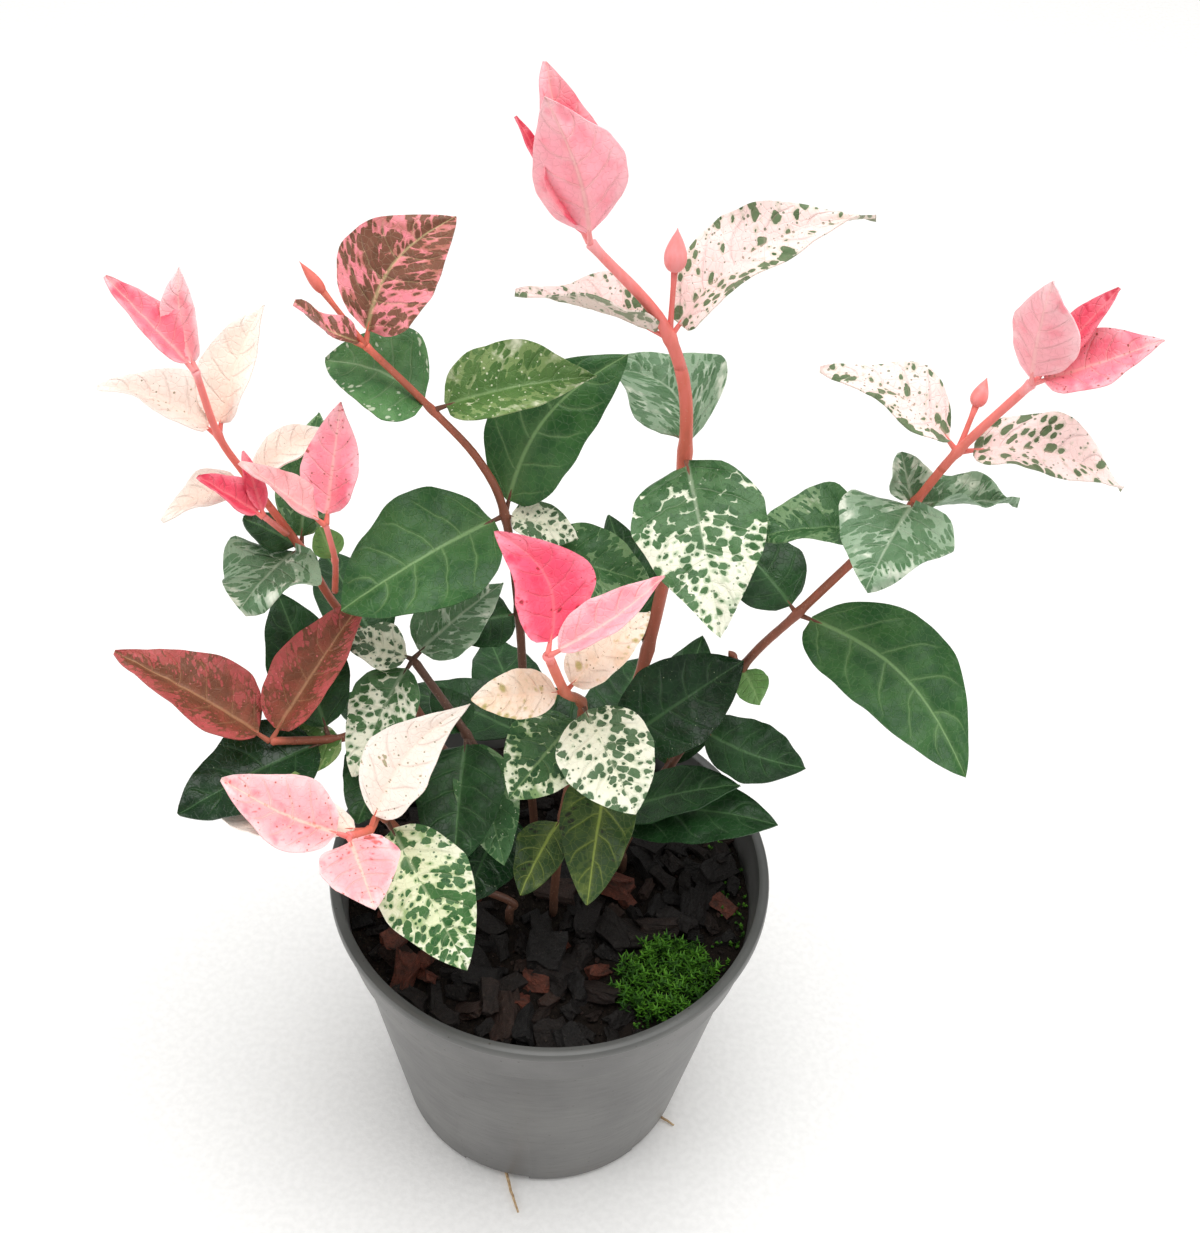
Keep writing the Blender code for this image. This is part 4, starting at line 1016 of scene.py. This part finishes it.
def add_rod(bm, layers, points, radii, youths, sides):
    """A round closed rod through points in mm, in the piece's first material.

    It is a grid rolled up, with its seam merged and its ends filled.
    """
    last = len(points) - 1
    ring = bmesh.ops.create_grid(bm, x_segments=last, y_segments=sides, size=1)["verts"]
    tangents = [(points[min(i + 1, last)] - points[max(i - 1, 0)]).normalized() for i in range(last + 1)]
    sideways = [tangents[0].orthogonal().normalized()]
    for before, after in zip(tangents, tangents[1:]):
        sideways.append(before.rotation_difference(after) @ sideways[-1])
    for vert in ring:
        step = round((vert.co.x + 1) / 2 * last)
        turn = vert.co.y * math.pi
        first = sideways[step]
        second = tangents[step].cross(first)
        reach = first * math.cos(turn) + second * math.sin(turn)
        mark(layers, vert, (youths[step], 0, 0))
        vert.co = (points[step] + reach * radii[step]) * MM
    bmesh.ops.remove_doubles(bm, verts=ring, dist=1e-7)
    ring = [vert for vert in ring if vert.is_valid]
    open_edges = [edge for edge in {e for v in ring for e in v.link_edges} if edge.is_boundary]
    bmesh.ops.holes_fill(bm, edges=open_edges, sides=sides)
    faces = faces_of(ring)
    bmesh.ops.recalc_face_normals(bm, faces=faces)
    for face in faces:
        face.smooth = True


def make_piece(name, bm, finishes, node):
    """A finished mesh object that rides on the body and stands for a node."""
    mesh = bpy.data.meshes.new(name)
    bm.to_mesh(mesh)
    bm.free()
    for finish in finishes:
        mesh.materials.append(finish)
    piece = bpy.data.objects.new(name, mesh)
    bpy.context.scene.collection.objects.link(piece)
    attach(piece, ROOT_BODY)
    if node:
        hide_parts(node)
    return piece


def stem_radius(shoot, at):
    """Radius in mm at a position along the whole route, with a swelling at each leaf pair."""
    last = len(full_route(shoot)) - 1
    ahead = len(foot_points(shoot))
    place = at / last * (len(shoot.radii) - 1)
    index = min(int(place), len(shoot.radii) - 2)
    below, above = shoot.radii[index:index + 2]
    radius = below + (above - below) * (place - index)
    swell, reach = NODE_SWELL
    for node in {row.at for section in shoot.sections for row in section.leaves}:
        radius *= 1 + swell * math.exp(-(((at - node - ahead) / reach) ** 2))
    return radius


def add_stem(bm, layers, shoot, section):
    """A section's stretch of stem, which overlaps the next stretch and ends blunt at the shoot's tip."""
    route = full_route(shoot)
    ahead = len(foot_points(shoot))
    start = 0 if section.start == 0 else section.start + ahead - STEM_OVERLAP
    end = section.end + ahead
    if end < len(route) - 1:
        end += STEM_OVERLAP
    count = max(LEAST_STEM_STEPS, round((end - start) * STEM_STEPS))
    shares = [step / count for step in range(count + 1)]
    first, second = section.young
    points, radii = [], []
    for share in shares:
        at = start + (end - start) * share
        uneven = noise.noise(Vector((at * 9, 0, start)))
        points.append(spline_point(route, at))
        radii.append(stem_radius(shoot, at) * (1 + STEM_UNEVEN * uneven))
    if end >= len(route) - 1:
        radii[-1] *= 0.5
    add_rod(bm, layers, points, radii, [first + (second - first) * share for share in shares], STEM_SIDES)


def add_petiole(bm, layers, blade, youth):
    """The leaf stalk, from inside the stem to under the blade's base."""
    points, radii = [], []
    first, last = PETIOLE_TAPER
    for step in range(PETIOLE_STEPS + 1):
        share = step / PETIOLE_STEPS
        place, normal = blade.spine((blade.petiole + PETIOLE_TONGUE) * share)
        points.append(place - normal * PETIOLE_DROP)
        radii.append(PETIOLE_RADIUS * (first + (last - first) * share))
    add_rod(bm, layers, points, radii, [youth] * len(points), ROD_SIDES)


def bud_half_width(share):
    """Half width of a bud, for a full width of 1, from its base (0) to its point (1)."""
    return 0.5 * math.sin(math.pi * min(1, share * 1.04) ** 0.72) ** 0.85 * (1.1 - 0.3 * share)


def add_bud(bm, layers, base, row, youth):
    """A pointed bud on its stalk, a little younger than its stem."""
    chord = leaf_frame(row)[0]
    top = base + chord * row.stalk
    last = len(BUD_STALK_RADII) - 1
    stalk = [base + (top - base) * step / last for step in range(last + 1)]
    add_rod(bm, layers, stalk, BUD_STALK_RADII, [youth] * len(stalk), ROD_SIDES)
    points, radii = [], []
    for step in range(BUD_STEPS + 1):
        share = step / BUD_STEPS
        points.append(top + chord * row.length * (share * 1.2 - 0.08))
        radii.append(row.width * bud_half_width(share) + BUD_TIP_RADIUS)
    add_rod(bm, layers, points, radii, [min(1.0, youth + 0.1)] * len(points), BUD_SIDES)


def dress_section(shoot, section, finishes):
    """One leafy stretch of a shoot: its stem, leaves with their stalks, and buds."""
    bm = bmesh.new()
    layers = new_marks(bm)
    add_stem(bm, layers, shoot, section)
    used = ["stem"]
    youth = sum(section.young) / 2
    for index, row in enumerate(section.leaves):
        if row.look not in used:
            used.append(row.look)
        seed = (len(section.node) * 7.3 + index * 5.1 + abs(row.heading) * 0.37) % 40
        blade = Blade(route_place(shoot, row.at), row, seed)
        add_petiole(bm, layers, blade, youth)
        add_blade(bm, layers, blade, used.index(row.look))
    for row in section.buds:
        add_bud(bm, layers, route_place(shoot, row.at), row, youth)
    looks = [finishes[name] for name in used]
    make_piece(section.node + "_dressed", bm, looks, section.node)


def wall_radius(height, inset=0.0):
    """Radius of the pot's wall below the collar, or of its inner face at an inset."""
    share = height / (POT_HEIGHT - COLLAR_HEIGHT)
    return BASE_RADIUS + (WALL_TOP_RADIUS - BASE_RADIUS) * share - inset


def collar_radius(height, inset=0.0):
    """Radius of the collar under the lip, or of its inner face at an inset."""
    share = (POT_HEIGHT - height) / COLLAR_HEIGHT
    lip_foot = RIM_RADIUS - 0.0006
    return lip_foot + (COLLAR_FOOT_RADIUS - lip_foot) * share - inset


def spin_profile(bm, profile, steps):
    """A closed body of revolution from (radius, height) points, with its poles merged."""
    points = [bm.verts.new((radius, 0, height)) for radius, height in profile]
    edges = [bm.edges.new(pair) for pair in zip(points, points[1:])]
    bmesh.ops.spin(
        bm, geom=points + edges, cent=(0, 0, 0), axis=(0, 0, 1), angle=math.tau, steps=steps, use_merge=True
    )
    bmesh.ops.remove_doubles(bm, verts=bm.verts, dist=1e-6)
    bmesh.ops.recalc_face_normals(bm, faces=bm.faces)


def soften(bm, limit=0.6):
    """Smooth shading, broken at the edges that turn more than a limit in radians."""
    for face in bm.faces:
        face.smooth = True
    for edge in bm.edges:
        edge.smooth = len(edge.link_faces) == 2 and edge.calc_face_angle() < limit


def cut_notches(piece):
    """Cut the drain notches into the pot's foot."""
    bm = bmesh.new()
    for notch in range(DRAIN_COUNT):
        heading = math.radians(DRAIN_HEADING + notch * 360 / DRAIN_COUNT)
        cube = bmesh.ops.create_cube(bm, size=1)["verts"]
        bmesh.ops.scale(bm, vec=(DRAIN_SIZE[0], DRAIN_SIZE[1], 2 * DRAIN_SIZE[2]), verts=cube)
        turn = Matrix.Rotation(heading, 4, "Z")
        bmesh.ops.transform(bm, matrix=turn @ Matrix.Translation((BASE_RADIUS, 0, 0)), verts=cube)
    mesh = bpy.data.meshes.new("notch_cutter")
    bm.to_mesh(mesh)
    bm.free()
    cutter = bpy.data.objects.new("notch_cutter", mesh)
    bpy.context.scene.collection.objects.link(cutter)
    cut = piece.modifiers.new("Notches", "BOOLEAN")
    cut.object = cutter
    bpy.context.view_layer.update()
    evaluated = piece.evaluated_get(bpy.context.evaluated_depsgraph_get())
    made = bpy.data.meshes.new_from_object(evaluated)
    piece.modifiers.clear()
    piece.data = made
    bpy.data.objects.remove(cutter, do_unlink=True)
    bm = bmesh.new()
    bm.from_mesh(made)
    soften(bm)
    bm.to_mesh(made)
    bm.free()


def make_pot():
    """The pot: a profile from the middle of its floor over the lip to the middle of its underside, spun."""
    step = POT_HEIGHT - COLLAR_HEIGHT
    lip_inside = RIM_RADIUS - LIP_WIDTH
    profile = (
        (0, FLOOR),
        (wall_radius(FLOOR, WALL) - 0.001, FLOOR),
        (wall_radius(FLOOR, WALL), FLOOR + 0.001),
        (wall_radius(step, WALL), step),
        (collar_radius(step + WALL, WALL), step + WALL),
        (lip_inside, POT_HEIGHT - 0.0006),
        (lip_inside + 0.00015, POT_HEIGHT - 0.00022),
        (lip_inside + 0.0005, POT_HEIGHT),
        (RIM_RADIUS - 0.0007, POT_HEIGHT),
        (RIM_RADIUS - 0.0002, POT_HEIGHT - 0.0002),
        (RIM_RADIUS, POT_HEIGHT - 0.0007),
        (RIM_RADIUS, POT_HEIGHT - LIP_HEIGHT + 0.0003),
        (RIM_RADIUS - 0.0002, POT_HEIGHT - LIP_HEIGHT),
        (collar_radius(POT_HEIGHT - LIP_HEIGHT), POT_HEIGHT - LIP_HEIGHT - 0.0004),
        (collar_radius(step), step),
        (WALL_TOP_RADIUS + 0.0004, step - 0.0003),
        (WALL_TOP_RADIUS, step - 0.0008),
        (wall_radius(BASE_CHAMFER * 1.5), BASE_CHAMFER * 1.5),
        (wall_radius(0) - 0.0002, BASE_CHAMFER * 0.6),
        (BASE_RADIUS - BASE_CHAMFER, 0),
        (0, 0),
    )
    bm = bmesh.new()
    spin_profile(bm, profile, POT_FACES)
    pot = make_piece("nursery_pot_shell", bm, [pot_finish()], "nursery_pot")
    cut_notches(pot)


def rough_height(x, y):
    """Height in metres of the mulch bed's lumpy top."""
    height = MULCH_TOP - BED_SINK
    for turns, seed, lump in BED_LUMPS:
        height += noise.noise(Vector((x * turns, y * turns, seed))) * lump
    return height


def make_bed():
    """The soil and fine bark between the chips."""
    reach = collar_radius(MULCH_TOP, WALL) - WALL_GAP
    profile = [(reach * step / BED_RINGS, MULCH_TOP) for step in range(BED_RINGS + 1)]
    profile += [(reach - 0.0004, MULCH_FOOT), (0, MULCH_FOOT)]
    bm = bmesh.new()
    layers = new_marks(bm)
    spin_profile(bm, profile, BED_FACES)
    for vert in bm.verts:
        if vert.co.z > MULCH_FOOT + 0.001:
            vert.co.z = rough_height(vert.co.x, vert.co.y)
        mark(layers, vert, (0.2, 0, 0))
    soften(bm, 1.2)
    make_piece("mulch_bed", bm, [soil_finish()], "bark_mulch")


def disc_place(index, count, radius, turn=0.0):
    """One of a number of places in mm that are spread evenly over a disc."""
    reach = radius * math.sqrt((index + 0.5) / count)
    heading = index * GOLDEN_TURN + turn
    return reach * math.cos(heading), reach * math.sin(heading)


def in_moss(x, y, spare):
    """Whether a place in mm lies on the moss or within a spare width of it."""
    away = Vector((x - MOSS_CENTRE[0], y - MOSS_CENTRE[1]))
    away = Matrix.Rotation(-math.radians(MOSS_TURN), 2) @ away
    return (away.x / (MOSS_RADII[0] + spare)) ** 2 + (away.y / (MOSS_RADII[1] + spare)) ** 2 < 1


def near_stem(x, y, spare):
    """Whether a place in mm lies within a spare width of a stem's middle."""
    return any(s.foot and math.hypot(x - s.foot[0], y - s.foot[1]) < spare for s in SHOOTS)


def keep_inside(vert):
    """Pull a point back to the pot's inner wall."""
    room = collar_radius(max(vert.co.z, POT_HEIGHT - COLLAR_HEIGHT), WALL) - WALL_GAP
    reach = math.hypot(vert.co.x, vert.co.y)
    if reach > room:
        vert.co.x *= room / reach
        vert.co.y *= room / reach


def noise_of_place(where):
    """Smooth noise as a vector, by three lookups: the values of noise_vector can differ between runs."""
    return Vector([noise.noise(where + Vector((shift, -shift, shift))) for shift in NOISE_SHIFTS])


def add_chip(bm, layers, block, place, size, turn, tone):
    """A broken piece of bark: a copy of a block of small faces, roughened and flattened."""
    copied = bmesh.ops.duplicate(bm, geom=block)["geom"]
    verts = [item for item in copied if isinstance(item, bmesh.types.BMVert)]
    for vert in verts:
        where = vert.co * 1.3 + Vector(place) * 900
        rough = noise_of_place(where) * 0.22 + noise_of_place(where * 2.7) * 0.10
        taper = 0.78 + 0.22 * noise.noise(Vector((vert.co.x * 1.2, tone * 50, place[0] * 400)))
        vert.co = Vector((vert.co.x, vert.co.y * taper, vert.co.z)) + rough
        mark(layers, vert, (tone, 0, 0))
    shape = Matrix.Translation(place) @ turn @ Matrix.Diagonal((*size, 1))
    bmesh.ops.transform(bm, matrix=shape, verts=verts)
    for vert in verts:
        keep_inside(vert)


def scatter_chips(bm, layers, block, draw):
    """Chips laid all over the bed, large ones among small ones. A large one tilts less and lies higher."""
    for index in range(CHIP_COUNT):
        x, y = disc_place(index, CHIP_COUNT, CHIP_SPREAD)
        if in_moss(x, y, CHIP_SPARES[0]) or near_stem(x, y, CHIP_SPARES[1]):
            continue
        large = index % LARGE_EACH == 0
        length = draw.uniform(*LARGE_LENGTHS if large else SMALL_LENGTHS) * MM
        size = (length, length * draw.uniform(*CHIP_WIDTHS), length * draw.uniform(*CHIP_HEIGHTS))
        tilt, rise = (0.55, 0.0016) if large else (0.8, 0.0006)
        turn = Matrix.Rotation(draw.uniform(0, math.tau), 4, "Z")
        turn = turn @ Matrix.Rotation(draw.uniform(-tilt, tilt), 4, "X")
        turn = turn @ Matrix.Rotation(draw.uniform(-tilt, tilt), 4, "Y")
        height = MULCH_TOP + draw.uniform(-0.0004, rise)
        add_chip(bm, layers, block, (x * MM, y * MM, height), size, turn, draw.choice(CHIP_TONES))


def scatter_crumbs(bm, layers, draw):
    """Crumbs of bark between the chips."""
    for index in range(CRUMB_COUNT):
        x, y = [side * MM for side in disc_place(index, CRUMB_COUNT, CRUMB_SPREAD, turn=0.4)]
        grain = draw.uniform(*CRUMB_SIZES) * MM
        place = Matrix.Translation((x, y, rough_height(x, y) + grain * 0.3))
        crumb = bmesh.ops.create_icosphere(bm, subdivisions=1, radius=grain / 2, matrix=place)["verts"]
        tone = draw.uniform(0.1, 0.75)
        for vert in crumb:
            vert.co += Vector([draw.uniform(-0.25, 0.25) * grain for _ in range(3)])
            keep_inside(vert)
            mark(layers, vert, (tone, 0, 0))


def make_chips():
    """The loose bark: chips copied from one block, which is then deleted, and crumbs."""
    draw = random.Random(11)
    bm = bmesh.new()
    layers = new_marks(bm)
    bmesh.ops.create_cube(bm, size=1)
    bmesh.ops.subdivide_edges(bm, edges=bm.edges, cuts=3, use_grid_fill=True)
    block_verts = bm.verts[:]
    scatter_chips(bm, layers, block_verts + bm.edges[:] + bm.faces[:], draw)
    bmesh.ops.delete(bm, geom=block_verts, context="VERTS")
    scatter_crumbs(bm, layers, draw)
    make_piece("bark_chips", bm, [bark_finish()], None)


def add_spike(bm, layers, foot, direction, length, width, low, high, tone):
    """A three-sided pointed sliver of moss. Low and high say how light it is at its foot and its point."""
    middle = foot + direction * length / 2
    turn = Vector((0, 0, 1)).rotation_difference(direction).to_matrix().to_4x4()
    place = Matrix.Translation(middle) @ turn
    made = bmesh.ops.create_cone(
        bm, cap_ends=True, segments=3, radius1=width, radius2=0, depth=length, matrix=place
    )
    for vert in made["verts"]:
        share = (vert.co - middle).dot(direction) / length + 0.5
        keep_inside(vert)
        mark(layers, vert, (low + (high - low) * share, tone, 0))


def add_moss_stem(bm, layers, foot, height, draw):
    """One feathery moss stem with small leaves round it."""
    lean = Vector((draw.uniform(-0.5, 0.5), draw.uniform(-0.5, 0.5), 1)).normalized()
    tone = draw.uniform(0, 1)
    add_spike(bm, layers, foot, lean, height, MOSS_STEM_WIDTH, 0.05, 0.8, tone)
    for index in range(MOSS_LEAVES):
        share = 0.3 + 0.7 * index / MOSS_LEAVES
        turn = index * GOLDEN_TURN + tone * 6
        out = Vector((math.cos(turn), math.sin(turn), 0.6)).normalized()
        start = foot + lean * height * share
        length = height * (0.5 - 0.22 * share)
        add_spike(bm, layers, start, out, length, MOSS_LEAF_WIDTH, share * 0.6, 0.6 + share * 0.4, tone)


def add_moss_core(bm, layers):
    """The dark mound under the moss stems."""
    place = Matrix.Translation((MOSS_CENTRE[0] * MM, MOSS_CENTRE[1] * MM, MULCH_TOP - 0.0005))
    turn = Matrix.Rotation(math.radians(MOSS_TURN), 4, "Z")
    size = [reach * 0.85 * MM for reach in MOSS_RADII]
    shape = place @ turn @ Matrix.Diagonal((*size, MOSS_MOUND * MM, 1))
    for vert in bmesh.ops.create_icosphere(bm, subdivisions=3, radius=1, matrix=shape)["verts"]:
        mark(layers, vert, (0.0, 0.2, 0))


def make_moss():
    """The tuft of moss: stems on a mound, spread over an oval with a ragged edge."""
    draw = random.Random(5)
    bm = bmesh.new()
    layers = new_marks(bm)
    turn = Matrix.Rotation(math.radians(MOSS_TURN), 2)
    for index in range(MOSS_STEMS):
        flat = Vector(disc_place(index, MOSS_STEMS, 1.0))
        share = flat.length
        flat *= 0.98 + 0.22 * noise.noise(Vector((*flat.normalized(), 2)) * 2.2)
        x, y = turn @ Vector((flat.x * MOSS_RADII[0], flat.y * MOSS_RADII[1])) + Vector(MOSS_CENTRE)
        mound = MOSS_MOUND * math.sqrt(max(0.0, 1 - share**2))
        foot = Vector((x, y, MULCH_TOP / MM - 0.8 + mound * 0.75)) * MM
        add_moss_stem(bm, layers, foot, draw.uniform(*MOSS_HEIGHTS), draw)
    add_moss_core(bm, layers)
    make_piece("moss_tuft", bm, [moss_finish()], "moss_cushion")


def make_rim_moss():
    """Sparse moss that creeps along the pot's inner wall at the right."""
    draw = random.Random(9)
    bm = bmesh.new()
    layers = new_marks(bm)
    for _ in range(RIM_MOSS_STEMS):
        heading = math.radians(draw.uniform(*RIM_MOSS_HEADINGS))
        radius = draw.uniform(*RIM_MOSS_RADII)
        x, y = radius * math.cos(heading), radius * math.sin(heading)
        if in_moss(x, y, 0.5):
            continue
        foot = Vector((x * MM, y * MM, rough_height(x * MM, y * MM)))
        add_moss_stem(bm, layers, foot, draw.uniform(*RIM_MOSS_HEIGHTS), draw)
    make_piece("rim_moss", bm, [moss_finish()], None)


def make_roots():
    """The two fine roots on the ground, thinner towards their ends."""
    finish = root_finish()
    for name, path in ROOT_PATHS.items():
        route = [Vector(point) for point in path]
        bm = bmesh.new()
        layers = new_marks(bm)
        points, radii = [], []
        for step in range(ROOT_STEPS + 1):
            share = step / ROOT_STEPS
            at = (len(route) - 1) * share
            wander = noise.noise(Vector((at * 3, len(name), 0))) * ROOT_WANDER
            points.append(spline_point(route, at) + Vector((wander, wander, 0)))
            radii.append(ROOT_RADIUS * (1 - 0.5 * share))
        add_rod(bm, layers, points, radii, [0.0] * len(points), ROD_SIDES)
        make_piece(name + "_fine", bm, [finish], name)


def make_floor():
    bm = bmesh.new()
    bmesh.ops.create_grid(bm, x_segments=1, y_segments=1, size=FLOOR_HALF)
    mesh = bpy.data.meshes.new("pale_floor")
    bm.to_mesh(mesh)
    bm.free()
    mesh.materials.append(floor_finish())
    floor = bpy.data.objects.new("pale_floor", mesh)
    bpy.context.scene.collection.objects.link(floor)


def add_softbox(name, place, target, size, power):
    lamp = bpy.data.lights.new(name, "AREA")
    lamp.shape = "RECTANGLE"
    lamp.size, lamp.size_y = size
    lamp.energy = power
    softbox = bpy.data.objects.new(name, lamp)
    bpy.context.scene.collection.objects.link(softbox)
    softbox.location = place
    softbox.rotation_euler = (Vector(target) - Vector(place)).to_track_quat("-Z", "Y").to_euler()


def light_scene():
    """An even pale world and soft lamps."""
    scene = bpy.context.scene
    world = bpy.data.worlds.new("studio")
    world.use_nodes = True
    background = world.node_tree.nodes["Background"]
    background.inputs["Color"].default_value = (1.0, 1.0, 1.0, 1.0)
    background.inputs["Strength"].default_value = WORLD_STRENGTH
    scene.world = world
    scene.view_settings.view_transform = "Standard"
    for softbox in SOFTBOXES:
        add_softbox(*softbox)


def place_camera():
    """The camera at the photograph's place, turned by yaw, then pitch, then roll."""
    yaw, pitch, roll = (math.radians(angle) for angle in (VIEW_YAW, VIEW_PITCH, VIEW_ROLL))
    forward = Vector((math.sin(yaw) * math.cos(pitch), math.cos(yaw) * math.cos(pitch), -math.sin(pitch)))
    level = Vector((math.cos(yaw), -math.sin(yaw), 0))
    upright = level.cross(forward)
    right = level * math.cos(roll) + upright * math.sin(roll)
    up = upright * math.cos(roll) - level * math.sin(roll)
    data = bpy.data.cameras.new("camera")
    data.lens = VIEW_LENS
    data.sensor_width = SENSOR
    data.clip_start = CLIP_START
    camera = bpy.data.objects.new("camera", data)
    bpy.context.scene.collection.objects.link(camera)
    turn = Matrix((right, up, -forward)).transposed().to_4x4()
    camera.matrix_world = Matrix.Translation(VIEW_PLACE) @ turn
    bpy.context.scene.camera = camera


def main():
    """Dress every node and set up the studio."""
    place_camera()
    finishes = {name: leaf_finish(name, look) for name, look in LOOKS.items()}
    finishes["stem"] = stem_finish()
    for shoot in SHOOTS:
        for section in shoot.sections:
            dress_section(shoot, section, finishes)
    make_pot()
    make_bed()
    make_chips()
    make_moss()
    make_rim_moss()
    make_roots()
    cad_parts["potting_soil"].data.materials[0] = soil_finish()
    make_floor()
    light_scene()


main()
